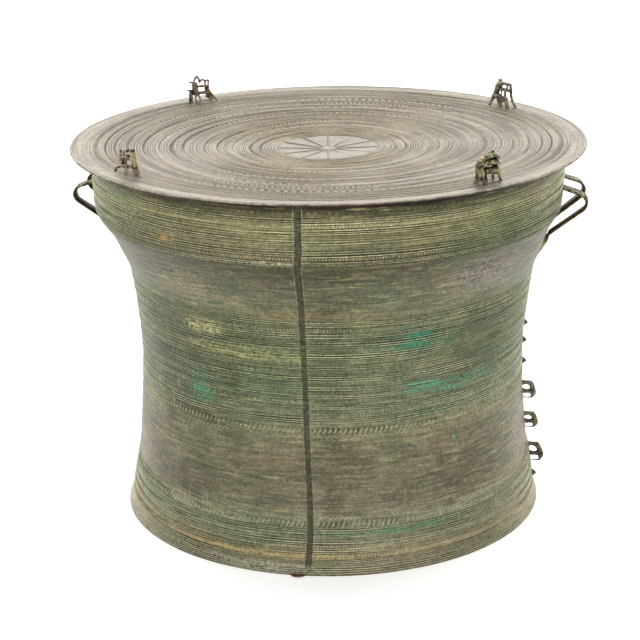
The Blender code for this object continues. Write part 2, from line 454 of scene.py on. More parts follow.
def ridge(path, width, rise, closed=False, dirt_and_shade=0.8, crown_tone=1.0):
    """A raised stroke along a flat path, in millimetres: points (along, up, out), faces, tones."""
    path = np.asarray(path, float)
    count = len(path)
    run = headings(path, closed)
    across = np.stack((-run[:, 1], run[:, 0]), 1) * np.broadcast_to(width, (count,))[:, None] / 2
    out = np.broadcast_to(rise, (count,))
    left = np.column_stack((path + across, np.full(count, -0.3)))
    crown = np.column_stack((path, out))
    right = np.column_stack((path - across, np.full(count, -0.3)))
    points = np.stack((left, crown, right), 1).reshape(-1, 3)
    faces = []
    for i in range(count if closed else count - 1):
        a, b = 3 * i, 3 * ((i + 1) % count)
        faces += [(a, a + 1, b + 1, b), (a + 1, a + 2, b + 2, b + 1)]
    if not closed:
        end = 3 * (count - 1)
        faces += [(0, 2, 1), (end, end + 1, end + 2)]
    # Dark feet stand for grime and, on the star, the leaf shadows and the rim, for painted shade
    tones = np.tile((-dirt_and_shade, crown_tone, -dirt_and_shade), count)
    return points, faces, tones


def ring_motif(width, height, stroke, rise, sides=8):
    """An open oval."""
    turn = np.arange(sides) * math.tau / sides
    path = np.stack((np.cos(turn) * width / 2, np.sin(turn) * height / 2), 1)
    return ridge(path, stroke, rise, closed=True)


def tick_motif(height, stroke, rise, lean=0.0, dirt_and_shade=0.08):
    """One short upright stroke, leaning if asked."""
    return ridge(((-lean / 2, -height / 2), (lean / 2, height / 2)), stroke, rise, dirt_and_shade=dirt_and_shade)


def leaf_motif(height, stroke, rise):
    """A slanted comma, blunt above and drawn out to a tail below, with a painted shadow beside it."""
    path = np.array(((-2.2, -0.50), (-0.9, -0.24), (0.6, 0.10), (1.6, 0.48))) * (1.0, height)
    swell = np.array((0.5, 1.0, 1.2, 0.8))
    points, faces, tones = ridge(path, 1.1 * swell * stroke, swell * rise, dirt_and_shade=0.6)
    # A low dark copy beside the comma: its painted shadow
    low, more, dark = ridge(path + (2.9, 0.0), swell * stroke, 0.15, dirt_and_shade=0.35, crown_tone=-0.6)
    more = [tuple(corner + len(points) for corner in face) for face in more]
    return np.concatenate((points, low)), faces + more, np.concatenate((tones, dark))


def curl_motif(size, stroke, rise, points=8):
    """A hooked spiral stroke."""
    turn = np.linspace(0.0, 1.35 * math.tau, points)
    reach = size / 2 * (1.0 - 0.72 * np.linspace(0.0, 1.0, points))
    path = np.stack((np.cos(turn) * reach, np.sin(turn) * reach), 1)
    return ridge(path, stroke, rise)


def bird_motif(length, stroke, rise):
    """A long-billed bird in flight, as two bowed strokes."""
    path = np.array(((-0.5, 0.10), (-0.22, -0.08), (0.0, 0.12), (0.22, -0.08), (0.5, 0.16)))
    return ridge(path * length, stroke * np.array((0.5, 1.0, 1.6, 1.0, 0.5)), rise)


class Band:
    """Places motifs round the mantle or across the head."""

    def __init__(self, casting, draws):
        self.casting = casting
        self.draws = draws

    def copies(self, motif, azimuths, level, place):
        """Copies of a motif; place(azimuth, along, up, out) gives points of the drum's surface."""
        points, faces, tones = motif
        count = len(azimuths)
        worn = np.clip(self.draws.normal(0.85, 0.18, count), 0.35, 1.2)[:, None]
        size = self.draws.normal(1.0, 0.05, count)[:, None]
        along = points[None, :, 0] * MM * size
        up = points[None, :, 1] * MM * size + self.draws.normal(0.0, 0.12, count)[:, None] * MM
        out = np.where(points[None, :, 2] > 0.0, points[None, :, 2] * worn, points[None, :, 2]) * MM
        where = place(azimuths[:, None], along, level + up, out)
        shifts = range(0, count * len(points), len(points))
        faces = [[corner + shift for corner in face] for shift in shifts for face in faces]
        self.casting.add(where, faces, tones[None] * worn)


def on_mantle(azimuth, along, height, out):
    """Points that stand out of the wall, some way along it from an azimuth."""
    radius = wall_radius(height) + out
    angle = azimuth + along / radius + drift_angle(height)
    return leaned(around(radius, angle, height))


def on_head(azimuth, along, radius, out):
    """Points that stand up from the head, some way along a circle from an azimuth."""
    angle = azimuth + along / np.maximum(radius, 0.01)
    return around(radius, angle, dish(radius) + out)


def azimuths_round(radius, pitch, clear_of_seams=True):
    """Even azimuths at about a pitch in millimetres, left out at the seams."""
    count = max(int(round(math.tau * radius / (pitch * MM))), 3)
    azimuths = (np.arange(count) + 0.5) * math.tau / count
    if clear_of_seams:
        aside = from_seam(azimuths, radius)
        azimuths = azimuths[aside > SEAM_HALF_WIDTH + 0.4 * pitch * MM]
    return azimuths


def mantle_bands(relief):
    """Bands of motifs down the mantle: height, motif and pitch in millimetres."""
    comb = tick_motif(3.8, 1.9, relief)
    fine = tick_motif(3.0, 1.6, 0.8 * relief)
    grain = ring_motif(4.5, 3.8, 1.2, relief)
    return (
        (468.6, curl_motif(4.6, 1.0, 0.9 * relief), 8.3),
        (453.1, comb, 3.9),
        (440.0, bird_motif(6.8, 1.0, 0.9 * relief), 8.6),
        (427.4, grain, 5.9),
        (413.4, fine, 3.9),
        (402.2, ring_motif(2.6, 1.8, 0.9, 0.6 * relief, 5), 5.2),
        (313.1, comb, 4.0),
        (299.2, bird_motif(7.0, 1.0, 0.9 * relief), 8.6),
        (285.4, ring_motif(3.0, 2.6, 0.9, 0.7 * relief, 6), 8.0),
        (271.6, grain, 5.5),
        (257.0, curl_motif(6.6, 1.2, relief, 9), 9.4),
        (242.7, fine, 3.7),
        (231.2, ring_motif(2.8, 2.6, 0.9, 0.8 * relief, 6), 4.6),
        (217.9, curl_motif(5.2, 1.1, 0.9 * relief), 8.2),
        (203.6, comb, 4.0),
        (182.0, leaf_motif(8.0, 2.9, 1.2 * relief), 6.3),
        (63.2, leaf_motif(9.0, 3.0, 1.2 * relief), 6.3),
        (47.2, fine, 4.0),
        (35.0, comb, 4.0),
        (22.9, tick_motif(4.8, 2.1, relief), 4.0),
    )


def zigzag(casting, level, amplitude, pitch, relief):
    """A continuous zigzag line round the mantle, open at the seams."""
    radius = float(wall_radius(level))
    for start in (0.0, math.pi):
        clear = (SEAM_HALF_WIDTH + 1.5 * MM) / radius
        run = (math.pi - 2.0 * clear) * radius
        count = int(round(run / (pitch * MM))) * 2 + 1
        along = np.linspace(0.0, run / MM, count)
        up = np.where(np.arange(count) % 2, amplitude, -amplitude)
        points, faces, tones = ridge(np.stack((along, up), 1), 2.3, relief, dirt_and_shade=0.1)
        across, rise, out = points.T * MM
        casting.add(on_mantle(start + clear + across / radius, 0.0, level + rise, out), faces, tones)


def make_mantle_motifs(sizes):
    """The stamped bands and the zigzags round the wall."""
    casting = Casting()
    band = Band(casting, np.random.default_rng(21))
    relief = sizes.motif_relief / MM
    for level, motif, pitch in mantle_bands(relief):
        height = level * MM
        azimuths = azimuths_round(float(wall_radius(height)), pitch)
        band.copies(motif, azimuths, height, on_mantle)
    for level in (174.4, 71.2):
        zigzag(casting, level * MM, 1.7, 6.2, 0.65 * relief)
    put(casting.mesh("mantle_motifs"), mantle_finish("motif_patina"), NODE)


# Head


def head_rows():
    """Out from the middle: radii, how far each row stands up and its tone."""
    rows = [
        (0.0015, 1.2, 0.3),
        (BOSS_RADIUS * 0.5, 1.2, 0.3),
        (BOSS_RADIUS, 1.1, 0.3),
        (BOSS_RADIUS + 0.8 * MM, 0.0, -0.6),
        (BOSS_RADIUS + 2.0 * MM, 0.0, 0.1),
        (0.0635, 0.0, 0.0),
        (0.0650, -0.5, -0.8),
        (0.0662, 0.3, 0.0),
    ]
    half = 0.80 * MM
    for first, last, lines in HEAD_LINES:
        centres = np.linspace(first, last, lines) * MM
        for centre in centres:
            rows += line_rows(centre, half, 0.36, -0.6)
        for centre in (centres[:-1] + centres[1:]) / 2:
            rows.append((centre, -0.4, -0.9))
        rows.append((first * MM - 1.5 * MM, -0.2, -0.6))
        rows.append((last * MM + 1.5 * MM, -0.2, -0.6))
    rows += [(0.3245, 0.0, 0.1), (0.3258, -0.5, -0.8), (0.3270, 0.0, 0.0)]
    return filled_rows(sorted(rows, key=lambda row: row[0]), 9.0 * MM)


def make_head(sizes):
    """The head with its raised rings, over the rim and back along its underside."""
    azimuth = np.linspace(-math.pi, math.pi, sizes.columns, endpoint=False)[None, :]
    rows = head_rows()
    radius, proud, tone = (rows[:, i][:, None] for i in range(3))
    waver = 0.30 * MM * unevenness(31, azimuth, radius, 7, 30.0)
    held = smooth_step(radius, 0.03, 0.09) * smooth_step(0.322 - radius, 0.0, 0.02)
    r = radius + waver * held
    wear = np.clip(0.90 + 0.20 * unevenness(33, azimuth, radius, 10, 70.0), 0.5, 1.15)
    wear = np.where(radius < 0.03, 1.0, wear)
    z = dish(r) + proud * sizes.line_relief * wear
    z = z + 0.35 * MM * unevenness(35, azimuth, radius, 4, 18.0) * smooth_step(r, 0.0, 0.05)
    tones = tone * wear

    # Over the rim and back to the axis along the underside
    edge = HEAD_RADIUS - 1.3 * MM
    neck = MANTLE_OUTLINE[-1][1]
    lip = RIM_TOP - RIM_THICKNESS
    under = ((edge, RIM_TOP - 0.5 * MM), (edge, lip + 0.2 * MM), (edge - 1.0 * MM, lip))
    under += ((neck, lip), (neck - 3.0 * MM, lip - 0.2 * MM))
    under = [(a, b + 0.0 * azimuth) for a, b in under]
    for inner in (0.2960, 0.2700, 0.2300, 0.1800, 0.1200, 0.0600, 0.0015):
        sag = 0.3 * MM * unevenness(37, azimuth, inner, 9, 60.0)
        under.append((inner, dish(inner) - HEAD_WALL + sag * smooth_step(inner, 0.0, 0.05)))
    r = np.concatenate([r] + [np.full_like(azimuth, a) for a, _ in under])
    z = np.concatenate([z] + [b for _, b in under])
    tones = np.concatenate([tones] + [np.full_like(azimuth, -0.3) for _ in under])

    casting = Casting()
    points, faces = turned_grid(r, azimuth * np.ones_like(r), z)
    casting.add(points, faces, tones)
    columns = azimuth.size
    top = list(range(columns))
    bottom = [len(points) - columns + i for i in range(columns)]
    casting.faces += [top, bottom[::-1]]
    put(casting.mesh("tympanum"), head_finish("tympanum_patina"), NODE)


def head_bands(relief):
    """Bands of motifs on the head: radius, motif and pitch in millimetres."""
    dot = ring_motif(2.4, 2.4, 1.0, 0.8 * relief, 5)
    grain = ring_motif(4.4, 3.4, 1.0, relief, 7)
    return (
        (87.4, tick_motif(3.2, 1.4, 0.8 * relief, 1.2), 4.2),
        (100.4, dot, 4.6),
        (123.0, bird_motif(7.4, 1.1, relief), 10.0),
        (143.0, grain, 6.2),
        (159.6, tick_motif(2.6, 1.3, 0.7 * relief), 4.0),
        (186.3, curl_motif(5.4, 1.1, 0.9 * relief), 9.0),
        (201.4, dot, 4.8),
        (216.8, bird_motif(7.8, 1.1, relief), 10.4),
        (237.2, grain, 6.4),
        (257.0, curl_motif(6.0, 1.1, 0.9 * relief), 9.6),
        (273.0, tick_motif(2.8, 1.3, 0.8 * relief, 0.8), 4.2),
        (285.4, dot, 4.6),
        (298.0, tick_motif(4.2, 1.3, 0.7 * relief), 4.6),
    )


def add_star(casting, turn, relief):
    """Twelve thin rays that flare at the boss and run to the edge of the disc."""
    reach = np.linspace(BOSS_RADIUS / MM - 2.5, 64.0, 14)
    width = 7.0 * np.clip(1.0 - (reach - reach[0]) / 24.0, 0.0, 1.0) ** 1.5 + 4.6
    lift = 1.6 * relief * (1.0 - 0.30 * (reach - reach[0]) / 55.0)
    for ray in range(12):
        azimuth = math.radians(turn + 30.0 * ray)
        # The rays' feet take a dark tone, which the star's finish paints as shade
        points, faces, tones = ridge(np.stack((0.0 * reach, reach), 1), width, lift)
        across, out, up = points.T * MM
        casting.add(on_head(azimuth, across, out, up), [face[::-1] for face in faces], tones)


def make_head_motifs(sizes):
    """The stamped bands of the head, and the star."""
    relief = sizes.motif_relief / MM
    bands = Casting()
    band = Band(bands, np.random.default_rng(41))
    for level, motif, pitch in head_bands(0.8 * relief):
        azimuths = azimuths_round(level * MM, pitch, clear_of_seams=False)
        band.copies(motif, azimuths, level * MM, on_head)
    put(bands.mesh("tympanum_motifs"), head_finish("head_motif_patina"), NODE)
    star = Casting()
    add_star(star, sizes.star_turn, relief)
    put(star.mesh("star"), star_finish("star_patina"), NODE)


def make_rim_edge(sizes):
    """The head's rim, its edge nicked into fine teeth."""
    teeth = round(math.tau * HEAD_RADIUS / sizes.tooth_pitch)
    columns = teeth * 4
    azimuth = np.linspace(-math.pi, math.pi, columns, endpoint=False)[None, :]
    tooth = 0.5 + 0.5 * np.cos(azimuth * teeth)
    uneven = np.clip(0.75 + 0.35 * unevenness(51, azimuth, 0.0, 90, 1.0), 0.2, 1.2)
    nick = (1.0 - tooth) * uneven * sizes.tooth_depth
    # Across the edge, from the upper face: inward of the widest point, below the top, tone
    section = (
        (2.8 * MM, 0.05 * MM, 0.0, 0.2),
        (1.5 * MM, -0.12 * MM, 0.3, 0.6),
        (0.45 * MM, 0.20 * MM, 0.9, 0.6),
        (0.05 * MM, 1.10 * MM, 1.0, 0.5),
        (0.05 * MM, 1.90 * MM, 0.8, 0.0),
        # The lowest rows, under the edge, take the darkest tone: painted shade
        (0.60 * MM, 2.75 * MM, 0.2, -1.0),
        (1.6 * MM, RIM_THICKNESS - 0.02 * MM, 0.0, -1.0),
    )
    radius = np.concatenate([HEAD_RADIUS - inward - share * nick for inward, _, share, _ in section])
    height = np.concatenate([RIM_TOP - below + 0.0 * azimuth for _, below, _, _ in section])
    dirt_and_shade = 0.8 * (1.0 - tooth) * uneven
    tone = np.concatenate([level - share * dirt_and_shade for _, _, share, level in section])
    casting = Casting()
    points, faces = turned_grid(radius, azimuth * np.ones_like(radius), height)
    casting.add(points, faces, np.clip(tone, -1.0, 1.0))
    put(casting.mesh("rim_edge"), rim_finish("rim_patina"), NODE)


# Rounded forms joined as one casting


def swelling(path, half_widths, half_heights, up=(0.0, 0.0, 1.0), sides=12, steps=4):
    """Points and faces of a closed rounded form along a path, in metres."""
    path = np.asarray(path, float)
    knots = distances_along(path)
    fine = np.linspace(0.0, knots[-1], (len(path) - 1) * steps + 1)
    centres = np.stack([smooth_curve(knots, path[:, i])(fine) for i in range(3)], 1)
    wide = np.interp(fine, knots, np.broadcast_to(half_widths, (len(path),)))
    high = np.interp(fine, knots, np.broadcast_to(half_heights, (len(path),)))
    run = headings(centres)
    side = np.cross(np.asarray(up, float), run[0])
    if np.linalg.norm(side) < 0.1:
        side = np.cross((0.0, 1.0, 0.0), run[0])
    rings = []
    angle = np.arange(sides)[:, None] * math.tau / sides
    for i, centre in enumerate(centres):
        side = side - run[i] * side.dot(run[i])
        side = side / np.linalg.norm(side)
        over = np.cross(run[i], side)
        rings.append(centre + side * wide[i] * np.cos(angle) + over * high[i] * np.sin(angle))
    tip = 0.7 * min(wide[-1], high[-1])
    tail = 0.7 * min(wide[0], high[0])
    points = np.concatenate(rings + [centres[:1] - run[:1] * tail, centres[-1:] + run[-1:] * tip])
    faces = np.roll(grid_faces(len(centres), sides)[:, ::-1], 1, axis=1).tolist()
    first, last = len(points) - 2, len(points) - 1
    end = (len(centres) - 1) * sides
    caps = [(first, (j + 1) % sides, j) for j in range(sides)]
    caps += [(last, end + j, end + (j + 1) % sides) for j in range(sides)]
    return points, faces, caps


def ball(centre, radii, sides=12):
    """An oval form round a centre."""
    x, y, z = centre
    a, b, c = radii
    path = [(x + a * t, y, z) for t in (-0.92, -0.6, 0.0, 0.6, 0.92)]
    swell = np.sqrt(1.0 - np.array((0.92, 0.6, 0.0, 0.6, 0.92)) ** 2)
    return swelling(path, swell * b, swell * c, sides=sides, steps=2)


class Figure:
    """Wax forms gathered for one small figure, then cast as one skin."""

    def __init__(self, name):
        self.name = name
        self.casting = Casting()

    def form(self, made):
        points, faces, caps = made
        self.casting.add(points, faces + caps)

    def cast(self, azimuth, voxel, softening, roughness, seed, settle=None):
        """One closed mesh round the forms, with each point's tone from how open it lies."""
        wax = shown(self.name + "_wax", self.casting.mesh(self.name + "_wax"))
        skin = wax.modifiers.new("one_skin", "REMESH")
        skin.mode = "VOXEL"
        skin.voxel_size = voxel
        soft = wax.modifiers.new("softened", "SMOOTH")
        soft.factor = 0.5
        soft.iterations = softening
        graph = bpy.context.evaluated_depsgraph_get()
        mesh = bpy.data.meshes.new_from_object(wax.evaluated_get(graph))
        bpy.data.objects.remove(wax, do_unlink=True)
        mesh.name = self.name
        points = read_rows(mesh.vertices, "co", 3)
        normals = read_rows(mesh.vertices, "normal", 3)
        ends = read_rows(mesh.edges, "vertices", 2, int)
        crest = standing_out(points, normals, ends) / (1.1 * voxel)
        # Hollows and points that the casting hems in darken, the hemmed-in ones as painted shade
        tone = 0.45 + 0.8 * crest - 2.4 * sheltered(mesh, points, normals)
        points = turned(points + normals * (cast_grain(points, seed) * roughness)[:, None], azimuth)
        points = points if settle is None else settle(points)
        points[:, 2] = np.minimum(points[:, 2], CAD_BOX[1].z - 0.05 * MM)
        mesh.vertices.foreach_set("co", points.ravel())
        mesh.update()
        set_values(mesh, "tone", np.clip(tone, -1.0, 1.0))
        set_values(mesh, "seam", np.zeros(len(points)))
        mesh.shade_smooth()
        return mesh


def read_rows(items, name, width, kind=float):
    """One property of all the items of a mesh, as rows."""
    values = np.empty(len(items) * width, kind)
    items.foreach_get(name, values)
    return values.reshape(-1, width)


GOLDEN_ANGLE = 2.39996


def sheltered(mesh, points, normals, reach=0.010, rays=10):
    """Share of the directions out of each point that soon meet the same casting."""
    tree = BVHTree.FromPolygons(points.tolist(), [tuple(face.vertices) for face in mesh.polygons])
    turn = np.arange(rays) * GOLDEN_ANGLE
    up = np.linspace(0.95, 0.15, rays)
    flat = np.sqrt(1 - up**2)
    spread = np.stack((np.cos(turn) * flat, np.sin(turn) * flat, up), 1)
    blocked = np.zeros(len(points))
    for i, (point, normal) in enumerate(zip(points, normals)):
        out = Vector(normal)
        frame_of_point = out.to_track_quat("Z", "Y")
        start = Vector(point) + out * 0.0004
        for ray in spread:
            if tree.ray_cast(start, frame_of_point @ Vector(ray), reach)[0] is not None:
                blocked[i] += 1.0 / rays
    return blocked


def standing_out(points, normals, ends, rounds=14):
    """How far each point stands out of the same mesh smoothed, in metres."""
    weight = np.bincount(ends.ravel(), minlength=len(points))[:, None]
    soft = points.copy()
    for _ in range(rounds):
        total = np.zeros_like(soft)
        np.add.at(total, ends[:, 0], soft[ends[:, 1]])
        np.add.at(total, ends[:, 1], soft[ends[:, 0]])
        soft = total / weight
    return ((points - soft) * normals).sum(1)


def cast_grain(points, seed):
    """Pitted unevenness of a rough casting, from about -1 to 1."""
    draws = np.random.default_rng(seed)
    total = np.zeros(len(points))
    for _ in range(14):
        wave = draws.normal(0.0, 1.0, 3)
        wave *= draws.uniform(900.0, 3200.0) / np.linalg.norm(wave)
        total += np.sin(points @ wave + draws.uniform(0.0, math.tau))
    return total / 4.0


# Strap handles

HANDLE_AZIMUTHS = (87.0, 99.0, 261.0, 273.0)
STRAP_WIDTH = 0.0180
STRAP_THICKNESS = 0.0034
# The strap's outer side in (radius, height): roots, bends and the tail that runs down the wall
STRAP_CORNERS = ((0.2996, 0.4340), (0.3325, 0.4230), (0.3354, 0.4065), (0.2752, 0.3650))
STRAP_BEND = 0.0085
STRAP_TAIL = 0.030


def strap_path(step):
    """The strap's outer side in (radius, height) and the distance along it, tail included."""
    corners = [np.array(corner) for corner in STRAP_CORNERS]
    path = [corners[0]]
    for before, corner, after in zip(corners, corners[1:], corners[2:]):
        start = corner + (before - corner) / np.linalg.norm(before - corner) * STRAP_BEND
        end = corner + (after - corner) / np.linalg.norm(after - corner) * STRAP_BEND
        pull_in, pull_out = start + (corner - start) * 0.6, end + (corner - end) * 0.6
        for t in np.linspace(0.0, 1.0, 9):
            path.append(
                start * (1 - t) ** 3
                + 3 * pull_in * t * (1 - t) ** 2
                + 3 * pull_out * t * t * (1 - t)
                + end * t**3
            )
    low = corners[-1][1]
    for height in np.linspace(low + 0.0045, low - STRAP_TAIL, 12):
        proud = 5.4 * MM * smooth_step(height, low - STRAP_TAIL - 0.006, low + 0.002)
        path.append(np.array((float(wall_radius(height)) + proud, height)))
    path = np.array(path)
    along = distances_along(path)
    even = np.linspace(0.0, along[-1], int(along[-1] / step))
    return np.stack((np.interp(even, along, path[:, 0]), np.interp(even, along, path[:, 1])), 1), even


def strap_section():
    """Across the strap, clockwise: (across, depth below the outer side, tone), in metres."""
    half, thick = STRAP_WIDTH / 2, STRAP_THICKNESS
    outer = [(-half, 1.2 * MM, -0.1), (-half + 0.5 * MM, 0.2 * MM, 0.6), (-half + 1.7 * MM, 0.0, 1.0)]
    outer += [(-half + 2.6 * MM, 0.80 * MM, -0.9), (-half + 3.5 * MM, 0.80 * MM, -0.7)]
    outer += [(x * MM, 0.4 * MM, 0.1) for x in (-4.8, -3.2, -1.6, 0.0)]
    outer += [(-x, depth, tone) for x, depth, tone in outer[-2::-1]]
    inner = [(half, thick * 0.75, -0.6), (half - 0.9 * MM, thick, -0.6), (0.0, thick, -0.6)]
    inner += [(-half + 0.9 * MM, thick, -0.6), (-half, thick * 0.75, -0.6)]
    return np.array(outer + inner)


def make_handle(name, azimuth, finish):
    """One strap handle: its section carried along its path."""
    path, along = strap_path(1.0 * MM)
    section = strap_section()
    run = headings(path)
    inward = np.stack((run[:, 1], -run[:, 0]), 1)
    # Plaited middle: raised strands that slant both ways from the centre line
    across = section[None, :, 0]
    plait = np.cos((along[:, None] + np.abs(across)) / (3.6 * MM) * math.tau)
    middle = (np.abs(across) < 4.9 * MM) & (section[None, :, 1] < 1.0 * MM)
    depth = section[None, :, 1] - np.where(middle, 0.28 * MM * plait, 0.0)
    # Down the tail the strap is solid to the wall
    sunk = smooth_step(along, along[-1] - STRAP_TAIL - 6.0 * MM, along[-1] - STRAP_TAIL)[:, None]
    depth = depth + np.where(section[None, :, 1] > 2.0 * MM, 4.0 * MM * sunk, 0.0)
    tone = section[None, :, 2] + np.where(middle, 0.7 * plait, 0.0)
    to_tip = smooth_step(along, along[-1] - STRAP_TAIL, along[-1])[:, None]
    uneven = 1.0 + 0.05 * np.sin(along * 140.0 + azimuth)[:, None]
    wide = (uneven - 0.72 * to_tip) * across
    points = np.stack(
        (
            wide + 0.0 * depth,
            -(path[:, None, 0] + inward[:, None, 0] * depth),
            path[:, None, 1] + inward[:, None, 1] * depth,
        ),
        -1,
    )
    rows, columns = depth.shape
    casting = Casting()
    casting.add(leaned(turned(points.reshape(-1, 3), azimuth)), grid_faces(rows, columns), tone)
    first = list(range(columns))
    casting.faces += [first, [corner + (rows - 1) * columns for corner in first[::-1]]]
    put(casting.mesh(name), finish, NODE)


# Frogs

FROG_RADIUS = 0.2985
# Name, azimuth, radius, fullness and seed of each pile of frogs
FROG_STACKS = (
    ("front_right", 46.0, 0.2985, 1.15, 61),
    ("back_right", 134.0, 0.2985, 1.50, 62),
    ("back_left", 223.0, 0.2985, 1.42, 63),
    ("front_left", 311.5, 0.2935, 1.50, 64),
)

